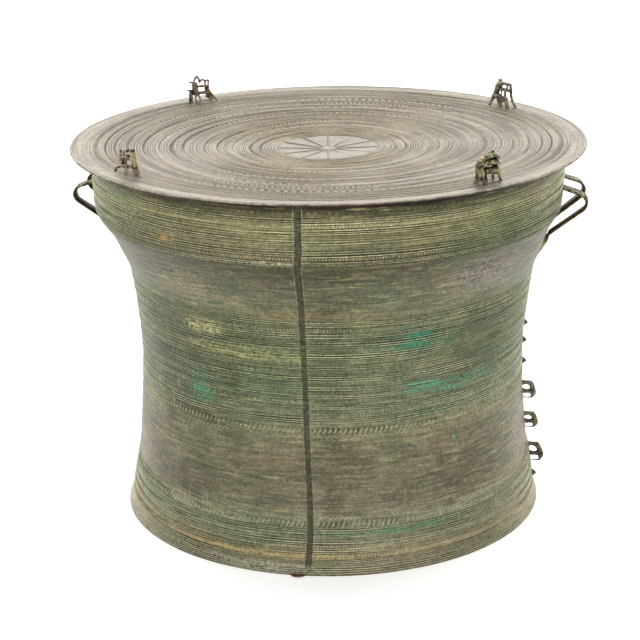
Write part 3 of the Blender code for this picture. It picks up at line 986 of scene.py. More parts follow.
# Rolls of wax in each pile: half width, half depth, whether a twin lies on the other side,
# and points (forward, outward, up) in millimetres from the middle of the pile's foot
FROG_PILES = {
    "front_right": (
        (4.4, 3.7, False, ((-17.0, 0, 9.0), (-8.0, 0, 13.3), (4.0, 0, 13.8), (13.0, 0, 10.5))),
        (3.8, 3.5, False, ((-16.0, 0, 19.5), (-6.0, 0, 23.0), (6.0, 0, 23.2), (13.0, 0, 20.5))),
        (3.2, 2.5, False, ((-14.5, 0, 29.0), (-4.0, 0, 30.6), (6.0, 0, 30.8), (13.0, 0, 28.5))),
        (3.8, 3.0, False, ((-15.0, 0, 4.5), (-15.2, 0, 15.0), (-14.2, 0, 28.6))),
        (1.7, 1.7, True, ((-12.5, 3.6, 30.5), (-15.5, 4.6, 19.0), (-14.5, 5.6, 9.0), (-16.5, 8.2, 0))),
        (1.3, 1.3, True, ((-9.0, 3.6, 11.0), (-11.0, 6.6, 7.0), (-10.5, 8.6, 0))),
        (1.6, 1.6, True, ((9.5, 2.6, 29.0), (10.2, 3.6, 20.0), (10.5, 4.6, 12.0), (12.5, 7.0, 0))),
        (2.4, 2.2, False, ((11.5, 0, 27.0), (12.2, 0, 17.0), (12.6, 0, 9.5))),
        (4.0, 3.2, False, ((-0.6, 0, 33.6), (4.4, 0, 34.4))),
        (1.9, 1.9, False, ((13.0, 1.0, 29.0), (14.6, 2.0, 28.2))),
        (2.2, 1.9, False, ((13.0, 0, 21.0), (16.0, 0, 19.6))),
        (2.4, 2.0, False, ((13.0, 0, 10.6), (16.6, 0, 9.0))),
    ),
    "back_right": (
        (1.7, 1.9, False, ((5.4, 3.0, 36.4), (5.6, 2.0, 33.0), (8.0, 1.0, 28.0))),
        (3.2, 2.2, False, ((4.6, 2.0, 33.4), (5.6, 2.0, 30.6), (8.0, 1.0, 26.0))),
        (3.0, 2.8, False, ((8.6, 1.0, 29.0), (10.4, 1.0, 22.0), (12.6, 0, 14.0))),
        (2.6, 2.2, False, ((2.0, 2.0, 30.6), (8.0, 2.0, 30.0))),
        (1.9, 1.4, False, ((6.0, 1.5, 33.0), (-2.0, 2.5, 32.4), (-10.4, 5.0, 31.6))),
        (2.4, 1.4, False, ((9.0, 1.0, 25.4), (0, 1.5, 24.4), (-11.0, 5.0, 23.0))),
        (3.6, 2.6, False, ((16.0, 0, 13.0), (8.0, 0, 14.0), (0, 0, 11.4), (-8.5, 1.0, 10.4))),
        (0.9, 0.9, False, ((-6.0, 4.4, 32.0), (-6.2, 4.6, 24.0))),
        (1.3, 1.3, False, ((-10.6, 6.0, 32.0), (-11.2, 6.8, 24.0), (-12.0, 7.0, 14.0), (-18.0, 10.0, 0))),
        (1.3, 1.3, False, ((-7.0, 0, 24.0), (-9.0, -2.0, 17.0), (-12.0, -3.0, 9.0), (-14.0, -3.6, 0))),
        (1.0, 1.0, False, ((-9.5, 0, 10.0), (-15.0, -2.4, 7.0), (-17.5, -3.0, 0))),
        (0.8, 0.8, False, ((2.0, 1.5, 24.0), (2.0, 1.0, 15.0))),
        (1.5, 1.5, False, ((13.0, -1.0, 13.0), (16.6, -3.6, 7.0), (19.0, -5.6, 0))),
        (1.0, 1.0, False, ((13.0, 2.0, 13.0), (15.5, 7.0, 6.0), (16.5, 9.5, 0))),
        (2.0, 1.8, False, ((3.6, 1.0, 10.0), (3.2, 2.0, 0.4))),
        (0.9, 0.9, False, ((11.0, 3.0, 30.0), (14.6, 4.0, 31.0))),
    ),
    "back_left": (
        (1.05, 1.0, False,
         ((13.6, 0, 28.5), (12.0, 0, 33.4), (8.2, 0, 36.6), (5.4, 0, 33.4), (4.0, 0, 27.5))),
        (1.0, 1.0, False, ((4.2, 0, 28.0), (0.2, 0, 31.6), (-3.8, 0, 30.0), (-5.0, 0, 22.0))),
        (0.9, 0.9, False, ((-5.0, 0, 22.0), (-5.8, 0, 29.0), (-9.4, 0, 29.6), (-9.8, 0, 21.0))),
        (2.2, 1.1, False, ((7.0, 0, 22.6), (-2.0, 0, 22.3), (-10.5, 0, 21.0))),
        (3.4, 3.0, False, ((12.4, 0, 28.0), (11.6, 0, 20.0), (10.6, 0, 11.0))),
        (2.2, 2.0, False, ((17.6, 2.0, 16.5), (18.0, 2.0, 8.0), (18.6, 2.0, 0.6))),
        (0.7, 0.7, False, ((14.0, 2.0, 29.0), (17.5, 2.0, 29.4), (21.0, 2.0, 31.0))),
        (0.8, 0.8, False, ((14.0, 2.0, 17.0), (18.5, 2.0, 18.0), (23.0, 2.0, 18.8))),
        (0.9, 0.9, False, ((9.0, -3.0, 14.0), (8.0, -5.0, 9.0), (7.6, -6.0, 4.0), (11.0, -6.6, 0))),
        (0.8, 0.8, False, ((13.0, -2.0, 12.0), (14.2, -4.0, 7.0), (13.6, -5.4, 2.5), (11.0, -6.6, 0.4))),
        (2.6, 1.5, False, ((8.0, 0, 13.4), (-3.0, 0, 12.8), (-10.0, 0, 12.0), (-13.0, 0, 11.2))),
        (1.1, 1.1, True, ((-9.6, 1.2, 21.0), (-8.4, 1.6, 17.0), (-10.4, 2.0, 12.0))),
        (1.5, 1.3, False, ((-4.6, 0, 19.0), (-7.0, 0, 16.4), (-9.4, 0, 13.0))),
        (1.1, 1.1, True, ((-9.0, 1.6, 17.0), (-14.6, 3.6, 8.0), (-19.0, 5.4, 2.4), (-21.4, 6.4, 0))),
        (2.2, 1.7, False, ((-5.4, -1.0, 8.0), (-9.0, -1.0, 6.8), (-11.6, -2.0, 5.6))),
        (1.2, 1.2, False, ((-9.0, -1.0, 8.0), (-11.6, -3.4, 4.0), (-12.4, -5.4, 0))),
    ),
    "front_left": (
        (1.2, 1.2, True,
         ((-12.0, 2.5, 26.0), (-12.6, 2.5, 16.0), (-12.0, 2.5, 7.6), (-16.4, 6.4, 5.0), (-18.0, 7.6, 0))),
        (1.7, 1.5, False, ((-12.6, 2.5, 26.4), (-10.6, 2.5, 26.8))),
        (0.9, 1.0, True,
         ((6.0, 4.0, 28.0), (5.0, 4.6, 20.0), (5.0, 4.8, 9.0), (5.0, 5.4, 3.0), (5.0, 6.6, 0))),
        (2.6, 1.9, False, ((11.0, -1.0, 29.0), (12.0, -2.0, 20.0), (13.4, -4.4, 10.0))),
        (1.7, 1.7, False, ((13.4, -4.4, 10.0), (13.0, -6.0, 4.0), (12.0, -6.6, 0))),
        (2.0, 1.3, False, ((4.0, 2.5, 29.0), (8.0, 0, 30.2), (12.0, -2.0, 29.0))),
        (2.8, 2.4, False, ((0.0, 2.0, 19.6), (6.0, 0.5, 21.2), (12.0, -1.0, 20.6))),
        (1.8, 1.5, False, ((-12.0, 2.2, 18.4), (-4.0, 2.0, 19.2), (3.0, 1.5, 21.0))),
        (2.2, 1.5, False, ((-11.6, 2.0, 8.0), (-3.0, 2.0, 8.2), (5.0, 0, 9.4), (14.0, -3.0, 10.4))),
        (1.2, 1.2, False, ((9.0, 0, 30.4), (12.6, -1.4, 30.0))),
    ),
}

# Where the top frog's eyes sit between, in the same millimetres
FROG_HEADS = {
    "front_right": (4.6, 0.0, 36.6),
    "back_right": (7.4, 3.0, 36.2),
    "back_left": (9.0, 0.0, 35.8),
    "front_left": (11.6, -1.4, 30.6),
}


def add_toes(figure, foot, draws):
    """Three toes that splay away from the middle of the pile."""
    x, y, z = foot
    away = math.atan2(y + FROG_RADIUS, x)
    for splay in (-38.0, 0.0, 38.0):
        angle = away + math.radians(splay + draws.uniform(-8.0, 8.0))
        reach = draws.uniform(0.0026, 0.0036)
        ends = (foot, (x + reach * math.cos(angle), y + reach * math.sin(angle), z - 0.0004))
        figure.form(swelling(ends, (0.0011, 0.0006), 0.0007, (0, 0, 1), 8))


def add_pile(figure, rolls, size, draws):
    """Three squatting frogs, one on another, facing +X, rolled out of wax."""
    ground = float(dish(FROG_RADIUS))
    for wide, deep, twinned, points in rolls:
        for side in (1.0, -1.0) if twinned else (1.0,):
            path = []
            for forward, outward, up in points:
                sink = 0.6 if up == 0 else 0.0
                place = (forward, -side * outward, up - sink)
                path.append(tuple(value * MM for value in place))
            path = [(x, y - FROG_RADIUS, z + ground) for x, y, z in path]
            steep = abs(path[-1][2] - path[0][2]) > abs(path[-1][0] - path[0][0])
            up = (1.0, 0.0, 0.0) if steep else (0.0, 0.0, 1.0)
            taper = np.ones(len(path))
            taper[0] = taper[-1] = 0.88
            figure.form(swelling(path, wide * size * taper, deep * size * taper, up))
            if points[-1][2] == 0:
                add_toes(figure, path[-1], draws)


def make_frogs(voxel):
    """The four piles of frogs near the head's edge."""
    ground = float(dish(FROG_RADIUS))
    for name, azimuth, radius, fullness, seed in FROG_STACKS:
        draws = np.random.default_rng(seed)
        figure = Figure("frogs_" + name)
        add_pile(figure, FROG_PILES[name], fullness * MM, draws)
        forward, outward, up = FROG_HEADS[name]
        for side in (-1.0, 1.0):
            aside = (outward + side * 2.2) * MM
            eye = (forward * MM, -FROG_RADIUS - aside, ground + up * MM)
            figure.form(ball(eye, (1.3 * MM, 1.2 * MM, 1.2 * MM), 10))
        shift = turned([(0.0, FROG_RADIUS - radius, 0.0)], azimuth)
        mesh = figure.cast(azimuth, voxel, 1, 0.16 * MM, seed, settle=shift.__add__)
        put(mesh, figure_finish(mesh.name + "_patina", name), NODE)


# Elephants and snails down the mantle

ANIMAL_AZIMUTH = 93.0
SNAIL_HEIGHTS = (0.2401, 0.2158, 0.1869, 0.0262)

# Elephants from the top: height of the middle, length and how far the back stands out
ELEPHANTS = (
    (0.1455, 0.0242, 0.0165),
    (0.1026, 0.0216, 0.0165),
    (0.0570, 0.0266, 0.0185),
)


def make_elephant(number, height, length, proud, finish):
    """An elephant walking down the wall, its back outwards and its trunk curled to the wall."""
    figure = Figure(f"elephant_{number}")

    def add(points, wide, high, up=(1, 0, 0), sides=12):
        """A form through points (share of the length ahead, aside in millimetres, share outward)."""
        path = []
        for ahead, aside, out in points:
            z = height + length / 2 - ahead * length
            path.append((aside * MM, -float(wall_radius(z)) - out * proud, z))
        figure.form(swelling(path, np.array(wide) * MM, np.array(high) * MM, up, sides))

    body = ((0.06, 0, 0.50), (0.12, 0, 0.65), (0.30, 0, 0.745), (0.50, 0, 0.785), (0.68, 0, 0.80))
    body += ((0.83, 0, 0.74),)
    add(body, (2.8, 3.9, 4.7, 4.6, 4.0, 2.6), (1.8, 3.0, 3.5, 3.8, 4.1, 3.0), (0, -1, 0))
    for side in (-1.0, 1.0):
        hind = ((0.15, 2.3 * side, 0.70), (0.09, 2.6 * side, 0.34), (0.10, 2.8 * side, -0.08))
        add(hind, (3.6, 1.6, 2.8), (2.8, 1.6, 2.2))
        fore = ((0.57, 2.2 * side, 0.74), (0.60, 2.6 * side, 0.36), (0.57, 2.8 * side, -0.08))
        add(fore, (3.8, 1.5, 2.8), (2.8, 1.8, 2.3))
        ear = ((0.66, 3.6 * side, 0.74), (0.78, 4.5 * side, 0.70))
        add(ear, (2.2, 1.6), 0.8, (0, -1, 0))
        tusk = ((0.88, 1.6 * side, 0.74), (0.95, 1.9 * side, 0.62), (0.97, 1.7 * side, 0.54))
        add(tusk, (0.8, 0.6, 0.4), 0.6, sides=8)
    trunk = ((0.86, 0, 0.76), (0.94, 0, 0.60), (0.965, 0, 0.36), (0.955, 0, 0.14), (0.93, 0, -0.06))
    slim = np.array((2.2, 1.2, 0.85, 0.75, 0.8))
    add(trunk, slim, slim * 0.85)
    tail = ((0.06, 0, 0.50), (0.01, 0, 0.40), (0.02, 0, 0.20))
    add(tail, (0.7, 0.6, 0.5), 0.6, sides=8)
    mesh = figure.cast(ANIMAL_AZIMUTH, 0.50 * MM, 2, 0.07 * MM, 70 + number, leaned)
    put(mesh, finish, NODE)


def make_snail(number, height, finish):
    """A blunt pointed shell on the wall, its whorls wound round a bent spire."""
    figure = Figure(f"snail_{number}")
    radius = float(wall_radius(height))
    out = np.array((-0.8, 0.6, 2.4, 4.2, 5.4)) * MM
    drop = np.array((0.0, 0.0, -0.2, -0.7, -1.3)) * MM
    girth = np.array((4.8, 4.5, 3.6, 2.2, 0.9)) * MM
    figure.form(swelling([(0.0, -radius - o, height + d) for o, d in zip(out, drop)], girth, girth))
    turn = np.linspace(0.0, 3.0 * math.tau, 26)
    rise = turn / turn[-1]
    reach = np.interp(rise, (0.0, 0.4, 0.8, 1.0), (4.4, 3.6, 2.1, 0.9)) * MM
    whorl = [
        (g * math.cos(t), -radius - 0.4 * MM - r * 4.6 * MM, height + g * math.sin(t) - 1.0 * MM * r * r)
        for g, t, r in zip(reach, turn, rise)
    ]
    thin = np.linspace(0.55, 0.35, 26) * MM
    figure.form(swelling(whorl, thin, thin, (0, 1, 0), 6, 1))
    mesh = figure.cast(ANIMAL_AZIMUTH, 0.34 * MM, 1, 0.04 * MM, 80 + number, leaned)
    put(mesh, finish, NODE)


def make_foot_lump():
    """A spill of bronze left on the foot's edge beside the front seam."""
    figure = Figure("foot_spill")
    radius = float(wall_radius(0.002))
    outline = ((-9, 0, 1.5), (-5, 3.6, 1.9), (0, 5.0, 2.0), (6, 3.4, 1.9), (10, 0, 1.5))
    path = [(x * MM, -radius - y * MM, z * MM) for x, y, z in outline]
    wide = np.array((1.4, 3.0, 3.6, 2.8, 1.2)) * MM
    high = np.array((0.8, 1.5, 1.8, 1.5, 0.8)) * MM
    figure.form(swelling(path, wide, high))
    mesh = figure.cast(-2.4, 0.5 * MM, 2, 0.12 * MM, 91)
    put(mesh, spill_finish("spill_patina"), NODE)


# Finishes

# How far a spot of colour reaches through the metal, in metres
SPOT_DEPTH = 0.05


def shade(red, green, blue):
    """A linear colour from 8-bit display values."""
    values = np.array((red, green, blue)) / 255.0
    linear = np.where(values <= 0.04045, values / 12.92, ((values + 0.055) / 1.055) ** 2.4)
    return (*linear.tolist(), 1.0)


class Reading:
    """A number, vector or colour that leaves a node; arithmetic on it adds more nodes."""

    def __init__(self, nodes, socket):
        self.nodes = nodes
        self.socket = socket

    def __add__(self, other):
        return self.nodes.math("ADD", self, other)

    def __sub__(self, other):
        return self.nodes.math("SUBTRACT", self, other)

    def __rsub__(self, other):
        return self.nodes.math("SUBTRACT", other, self)

    def __mul__(self, other):
        return self.nodes.math("MULTIPLY", self, other)

    def ease(self, low, high, start=0.0, end=1.0):
        """From start at low to end at high, eased between; high may be the smaller value."""
        if high < low:
            low, high, start, end = high, low, end, start
        inputs = {"Value": self, "From Min": low, "From Max": high, "To Min": start, "To Max": end}
        return self.nodes.node("ShaderNodeMapRange", "Result", inputs, interpolation_type="SMOOTHSTEP")


class Nodes:
    """A node tree, with short calls that add to it."""

    def __init__(self, tree):
        self.tree = tree

    def feed(self, socket, value):
        """Links a reading to a socket, or sets a plain value on it."""
        if isinstance(value, Reading):
            self.tree.links.new(value.socket, socket)
        else:
            socket.default_value = value

    def node(self, kind, output, inputs=(), **settings):
        """Adds a node with its settings and inputs, and reads one of its outputs."""
        made = self.tree.nodes.new(kind)
        for name, value in settings.items():
            setattr(made, name, value)
        for name, value in dict(inputs).items():
            self.feed(made.inputs[name], value)
        return Reading(self, made.outputs[output])

    def math(self, operation, first, second):
        return self.node("ShaderNodeMath", 0, {0: first, 1: second}, operation=operation)


class Finish(Nodes):
    """A material, with the patterns and colours that its surface is made of.

    Plain colours are given as 8-bit display values.
    """

    def __init__(self, name, metallic, specular=0.5):
        self.material = bpy.data.materials.new(name)
        self.material.use_nodes = True
        super().__init__(self.material.node_tree)
        self.shader = self.tree.nodes["Principled BSDF"]
        self.shader.inputs["Metallic"].default_value = metallic
        self.shader.inputs["Specular IOR Level"].default_value = specular
        self.place = self.node("ShaderNodeTexCoord", "Object")

    def value(self, name):
        """A value that the mesh's points carry."""
        return self.node("ShaderNodeAttribute", "Fac", attribute_name=name)

    def axis(self, name):
        return self.node("ShaderNodeSeparateXYZ", name, {0: self.place})

    def reach(self):
        """Distance from the drum's axis."""
        inputs = {0: self.place, 1: (1.0, 1.0, 0.0)}
        flat = self.node("ShaderNodeVectorMath", 0, inputs, operation="MULTIPLY")
        return self.node("ShaderNodeVectorMath", "Value", {0: flat}, operation="LENGTH")

    def noise(self, scale, detail=3.0, rough=0.55, vector=None, distortion=0.0):
        inputs = {"Vector": vector or self.place, "Scale": scale, "Detail": detail}
        inputs |= {"Roughness": rough, "Distortion": distortion}
        return self.node("ShaderNodeTexNoise", "Fac", inputs)

    def stretched(self, across, up):
        """Coordinates for a noise that is finer up the drum than across it."""
        inputs = {"Vector": self.place, "Scale": (across, across, up)}
        return self.node("ShaderNodeMapping", "Vector", inputs)

    def along(self, value, fine, slow):
        """Coordinates that run fast along a value and slowly from side to side."""
        parts = (value * fine, self.axis("X") * slow, self.axis("Y") * slow)
        return self.node("ShaderNodeCombineXYZ", 0, dict(enumerate(parts)))

    def spot(self, azimuth, height, half_width, half_height, radius=None):
        """Distance from a place on the wall, or at a radius: 1 at the edge of an oval."""
        angle = math.radians(azimuth)
        reach = radius or float(wall_radius(height))
        inputs = {
            "Vector": self.place,
            "Location": (reach * math.sin(angle), -reach * math.cos(angle), height),
            "Rotation": (0.0, 0.0, angle),
            "Scale": (half_width, SPOT_DEPTH, half_height),
        }
        within = self.node("ShaderNodeMapping", "Vector", inputs, vector_type="TEXTURE")
        return self.node("ShaderNodeVectorMath", "Value", {0: within}, operation="LENGTH")

    def ramp(self, value, high, stops):
        """Colours along a value from 0 to high; stops are (value, colour)."""
        inputs = {"Value": value, "From Min": 0.0, "From Max": high}
        spread = self.node("ShaderNodeMapRange", "Result", inputs)
        made = self.tree.nodes.new("ShaderNodeValToRGB")
        elements = made.color_ramp.elements
        while len(elements) < len(stops):
            elements.new(1.0)
        for element, (at, colour) in zip(elements, stops):
            element.position = at / high
            element.color = shade(*colour)
        self.feed(made.inputs[0], spread)
        return Reading(self, made.outputs["Color"])

    def mix(self, share, first, second, blend="MIX"):
        first, second = (shade(*c) if isinstance(c, tuple) else c for c in (first, second))
        inputs = {"Factor": share, 6: first, 7: second}
        return self.node("ShaderNodeMix", 2, inputs, data_type="RGBA", blend_type=blend)

    def varied(self, share, colour, reading, low, high):
        """The colour darkened and lightened along a reading, with its mean kept."""
        patchy = self.mix(reading.ease(low, high), (118, 120, 114), (222, 220, 214))
        return self.mix(share, colour, patchy, "SOFT_LIGHT")

    def surface(self, colour, roughness, rise=None, depth=0.0, strength=1.0):
        """The material with its colour, its roughness and its finest relief set."""
        self.feed(self.shader.inputs["Base Color"], colour)
        self.feed(self.shader.inputs["Roughness"], roughness)
        if rise:
            inputs = {"Height": rise, "Distance": depth, "Strength": strength}
            self.feed(self.shader.inputs["Normal"], self.node("ShaderNodeBump", "Normal", inputs))
        return self.material


# The mantle's colour up the wall, darkened at the top as painted shade under the head's overhang: height
# in metres and colour
MANTLE_BANDING = (
    (0.000, (150, 142, 128)),
    (0.016, (146, 138, 118)),
    (0.023, (156, 144, 116)),
    (0.035, (144, 140, 118)),
    (0.052, (122, 128, 108)),
    (0.066, (136, 134, 112)),
    (0.090, (113, 108, 92)),
    (0.150, (113, 109, 90)),
    (0.180, (124, 122, 98)),
    (0.203, (116, 122, 98)),
    (0.231, (106, 116, 95)),
    (0.257, (106, 112, 88)),
    (0.272, (122, 127, 97)),
    (0.299, (99, 108, 84)),
    (0.320, (108, 109, 84)),
    (0.340, (108, 108, 88)),
    (0.365, (98, 96, 80)),
    (0.395, (82, 79, 63)),
    (0.413, (88, 88, 63)),
    (0.427, (112, 112, 82)),
    (0.440, (128, 126, 93)),
    (0.455, (142, 141, 106)),
    # These two stops darken the wall under the head's overhang: painted shade over its own colour
    (0.465, (96, 94, 68)),
    (0.475, (38, 34, 20)),
)

# Stains and painted light on the mantle: azimuth, height, half width and half height in metres, colour,
# strength
MANTLE_STAINS_AND_PAINTED_LIGHT = (
    (-33.0, 0.2400, 0.070, 0.2200, (78, 84, 60), 0.40),
    (7.0, 0.2400, 0.026, 0.2600, (70, 68, 48), 0.40),
    # Painted shadow: a black band under the head's overhang
    (24.0, 0.4785, 0.200, 0.0060, (12, 10, 5), 1.0),
    (12.0, 0.4770, 0.060, 0.0050, (58, 26, 16), 0.7),
    # Painted shade just below the black band
    (16.0, 0.4655, 0.070, 0.0055, (38, 36, 22), 0.40),
    (-38.0, 0.0950, 0.060, 0.0300, (70, 64, 58), 0.30),
    (-40.0, 0.1830, 0.060, 0.0160, (56, 56, 42), 0.38),
    (48.0, 0.1150, 0.055, 0.0450, (72, 66, 50), 0.36),
    # Painted glints along the lines, orange and white
    (-33.0, 0.4225, 0.024, 0.0050, (206, 168, 74), 0.9),
    (-7.0, 0.4070, 0.040, 0.0030, (215, 215, 190), 0.7),
    (-32.0, 0.3560, 0.046, 0.0240, (150, 136, 112), 0.45),
    (50.0, 0.3650, 0.090, 0.0300, (132, 126, 118), 0.60),
    (-2.0, 0.3350, 0.036, 0.0070, (138, 118, 80), 0.50),
    (54.0, 0.2790, 0.074, 0.0580, (56, 70, 48), 0.80),
    (31.0, 0.2940, 0.052, 0.0220, (44, 116, 88), 0.90),
    (30.5, 0.2970, 0.022, 0.0130, (62, 140, 112), 1.0),
    (45.0, 0.2270, 0.066, 0.0090, (84, 156, 120), 0.85),
    (32.0, 0.2345, 0.034, 0.0013, (120, 186, 156), 1.0),
    (36.0, 0.2292, 0.040, 0.0012, (104, 172, 142), 1.0),
    (30.0, 0.2250, 0.016, 0.0022, (84, 158, 128), 1.0),
    (-44.0, 0.2640, 0.078, 0.0640, (48, 62, 45), 0.75),
    (-42.0, 0.2060, 0.066, 0.0130, (52, 60, 46), 0.50),
    (20.0, 0.4400, 0.080, 0.0060, (78, 80, 56), 0.50),
    # Lighter towards both sides of the front view: pale patina with painted sheen
    (78.0, 0.1050, 0.050, 0.0700, (158, 144, 124), 0.50),
    (-68.0, 0.1000, 0.045, 0.0350, (160, 148, 126), 0.50),
    (-64.0, 0.2400, 0.050, 0.0560, (84, 86, 64), 0.45),
    (74.0, 0.2800, 0.040, 0.0380, (92, 84, 66), 0.50),
    (43.0, 0.1950, 0.095, 0.0050, (92, 150, 116), 0.75),
    (-33.0, 0.2230, 0.026, 0.0250, (80, 146, 112), 0.80),
    (-29.0, 0.3040, 0.036, 0.0110, (206, 200, 146), 0.85),
    (-20.0, 0.2770, 0.095, 0.0090, (190, 182, 124), 0.75),
    (43.0, 0.1510, 0.003, 0.0070, (96, 144, 104), 0.9),
    (20.0, 0.0520, 0.150, 0.0045, (80, 142, 108), 0.75),
    (-14.0, 0.0230, 0.190, 0.0050, (190, 166, 116), 0.60),
    (12.0, 0.0006, 0.060, 0.0014, (112, 52, 46), 0.9),
    (-13.0, 0.0080, 0.090, 0.0070, (200, 192, 178), 0.80),
    # Two pinholes drawn as black dots: painted shade
    (24.6, 0.0410, 0.0011, 0.0011, (6, 6, 4), 1.0),
    (24.6, 0.0375, 0.0009, 0.0009, (6, 6, 4), 1.0),
)
# Marks wider than this have a torn edge, and those of middling strength are broken up
TORN_WIDTH = 0.005
BROKEN_STRENGTHS = (0.4, 1.0)

# The head's own colour outwards: radius in metres and colour
HEAD_BANDING = (
    (0.000, (121, 113, 98)),
    (0.0635, (127, 119, 104)),
    (0.0660, (122, 112, 91)),
    (0.105, (124, 114, 93)),
    (0.160, (122, 113, 94)),
    (0.185, (114, 105, 88)),
    (0.225, (126, 117, 101)),
    (0.240, (117, 109, 93)),
    (0.285, (119, 111, 95)),
    (0.324, (130, 121, 106)),
)


def mantle_finish(name):
    """Olive and green patina in bands, with rubbed crowns, grimy recesses and verdigris; its bands and
    stains also hold painted shadow, shade, glints and sheen.
    """
    finish = Finish(name, metallic=0.55, specular=0.35)
    height = finish.axis("Z")
    cloudy = finish.noise(9.0, 5.0, 0.6)
    mottled = finish.noise(46.0, 5.0, 0.62, distortion=0.6)
    speckled = finish.noise(260.0, 4.0, 0.7)
    brushed = finish.noise(1.0, 4.0, 0.65, finish.stretched(26.0, 420.0))
    streaked = finish.noise(1.0, 3.0, 0.6, finish.stretched(9.0, 110.0), 0.4)
    grain = finish.noise(700.0, 2.0, 0.6)

    base = finish.ramp(height + (cloudy - 0.5) * 0.014, 0.48, MANTLE_BANDING)
    colour = finish.varied(0.30, base, mottled, 0.38, 0.62)
    rust = streaked.ease(0.50, 0.68) * 0.30
    colour = finish.mix(rust, colour, (146, 126, 98))
    yellow = streaked.ease(0.50, 0.34) * brushed.ease(0.48, 0.62) * 0.45
    colour = finish.mix(yellow, colour, (162, 160, 112))
    green = cloudy.ease(0.52, 0.32) * brushed.ease(0.56, 0.42) * 0.45
    colour = finish.mix(green, colour, (84, 112, 88))
    colour = finish.varied(0.50, colour, brushed, 0.36, 0.64)

    ragged = (mottled - 0.5) * 2.0
    torn = (brushed - 0.5) * 1.8
    broken = (speckled + brushed).ease(0.84, 1.06)
    for azimuth, level, wide, high, tint, strength in MANTLE_STAINS_AND_PAINTED_LIGHT:
        away = finish.spot(azimuth, level, wide, high)
        if wide > TORN_WIDTH:
            away = away + ragged + torn
        share = away.ease(1.20, 0.30) * strength
        if BROKEN_STRENGTHS[0] < strength < BROKEN_STRENGTHS[1]:
            share = share * broken
        colour = finish.mix(share, colour, tint)

    tone = finish.value("tone")
    faded = streaked.ease(0.40, 0.62) * 0.65 + 0.42
    crown = tone.ease(0.05, 0.95) * speckled.ease(0.24, 0.52)
    recess = tone.ease(-0.10, -0.95) * faded
    rubbed = finish.mix(cloudy.ease(0.42, 0.58), (176, 190, 144), (206, 200, 168))
    colour = finish.mix(crown * faded * 0.72, colour, rubbed)
    colour = finish.mix(recess, colour, finish.mix(brushed, (28, 32, 20), (70, 72, 50)))
    colour = finish.varied(0.45, colour, speckled, 0.38, 0.62)
    seam = finish.value("seam") * (0.88 - height.ease(0.016, 0.004) * 0.6)
    blotched = finish.mix(speckled.ease(0.36, 0.64), (42, 42, 30), (76, 74, 56))
    colour = finish.mix(seam, colour, blotched)
    colour = finish.varied(0.30, colour, grain, 0.35, 0.65)
    glints = speckled.ease(0.66, 0.72) * mottled.ease(0.50, 0.60) * 0.7
    colour = finish.mix(glints, colour, (214, 208, 184))
    rough = mottled * 0.25 + recess * 0.25 + 0.34
    rise = grain * 0.35 + mottled * 0.8 + brushed * 0.6 + speckled * 0.6
    return finish.surface(colour, rough, rise, 0.32 * MM, 0.75)


def head_finish(name):
    """Grey and pinkish patina, browner towards the middle, with dark scribed lines."""
    finish = Finish(name, metallic=0.45, specular=0.45)
    cloudy = finish.noise(8.0, 5.0, 0.6)
    mottled = finish.noise(40.0, 5.0, 0.62, distortion=0.5)
    speckled = finish.noise(190.0, 4.0, 0.7)
    grain = finish.noise(640.0, 2.0, 0.6)
    reach = finish.reach()
    ringed = finish.noise(1.0, 3.0, 0.6, finish.along(reach, 300.0, 10.0))

    base = finish.ramp(reach + (cloudy - 0.5) * 0.008, 0.33, HEAD_BANDING)
    colour = finish.varied(0.45, base, mottled, 0.36, 0.64)
    colour = finish.mix(cloudy.ease(0.52, 0.72) * 0.25, colour, (134, 120, 112))
    green = cloudy.ease(0.48, 0.30) * speckled.ease(0.45, 0.60) * 0.35
    colour = finish.mix(green, colour, (112, 116, 92))
    off_disc = reach.ease(0.0640, 0.0660) * 0.70
    colour = finish.varied(off_disc, colour, ringed, 0.38, 0.62)
    tone = finish.value("tone")
    crown = tone.ease(-0.05, 0.75) * speckled.ease(0.20, 0.46)
    recess = tone.ease(-0.25, -0.90) * 0.72
    colour = finish.mix(crown * 0.50, colour, (160, 150, 131))
    colour = finish.mix(recess, colour, (66, 60, 49))
    colour = finish.varied(0.40, colour, speckled, 0.36, 0.62)
    rough = mottled * 0.25 + recess * 0.25 + 0.36
    return finish.surface(colour, rough, grain * 0.35 + mottled * 0.8, 0.28 * MM, 0.7)


def star_finish(name):
    """Olive crowns for the thin rays of the star, with painted shade along their edges."""
    finish = Finish(name, metallic=0.45, specular=0.45)
    speckled = finish.noise(190.0, 4.0, 0.7)
    crown = finish.mix(speckled.ease(0.36, 0.62), (112, 104, 86), (132, 123, 104))
    # Dark towards the rays' feet: painted shade
    colour = finish.mix(finish.value("tone").ease(0.75, 0.10), crown, (66, 58, 42))
    return finish.surface(colour, 0.55)


def rim_finish(name):
    """Worn pale metal along the head's edge, black between the teeth, with painted shade under them."""
    finish = Finish(name, metallic=0.35, specular=0.6)
    speckled = finish.noise(190.0, 4.0, 0.7)
    mottled = finish.noise(40.0, 4.0, 0.62)
    pale = finish.mix(speckled.ease(0.36, 0.62), (128, 120, 102), (176, 168, 150))
    tone = finish.value("tone")
    edge = RIM_TOP - 2.0 * MM
    # Painted shadow on the edge's lower part, over the stretch where the band under the head is blackest
    shadow_band = finish.spot(24.0, edge, 0.190, 0.012, HEAD_RADIUS).ease(1.15, 0.75)
    worn = tone + (mottled - 0.5) * 0.9 - shadow_band * tone.ease(0.5, -0.2) * 0.9
    colour = finish.mix(worn.ease(0.0, -0.7), pale, (26, 22, 14))
    rusty = finish.spot(11.0, edge, 0.048, 0.012, HEAD_RADIUS).ease(1.1, 0.6)
    rusty = rusty * tone.ease(0.4, -0.3) * speckled.ease(0.40, 0.60) * 0.8
    return finish.surface(finish.mix(rusty, colour, (92, 52, 34)), 0.6)


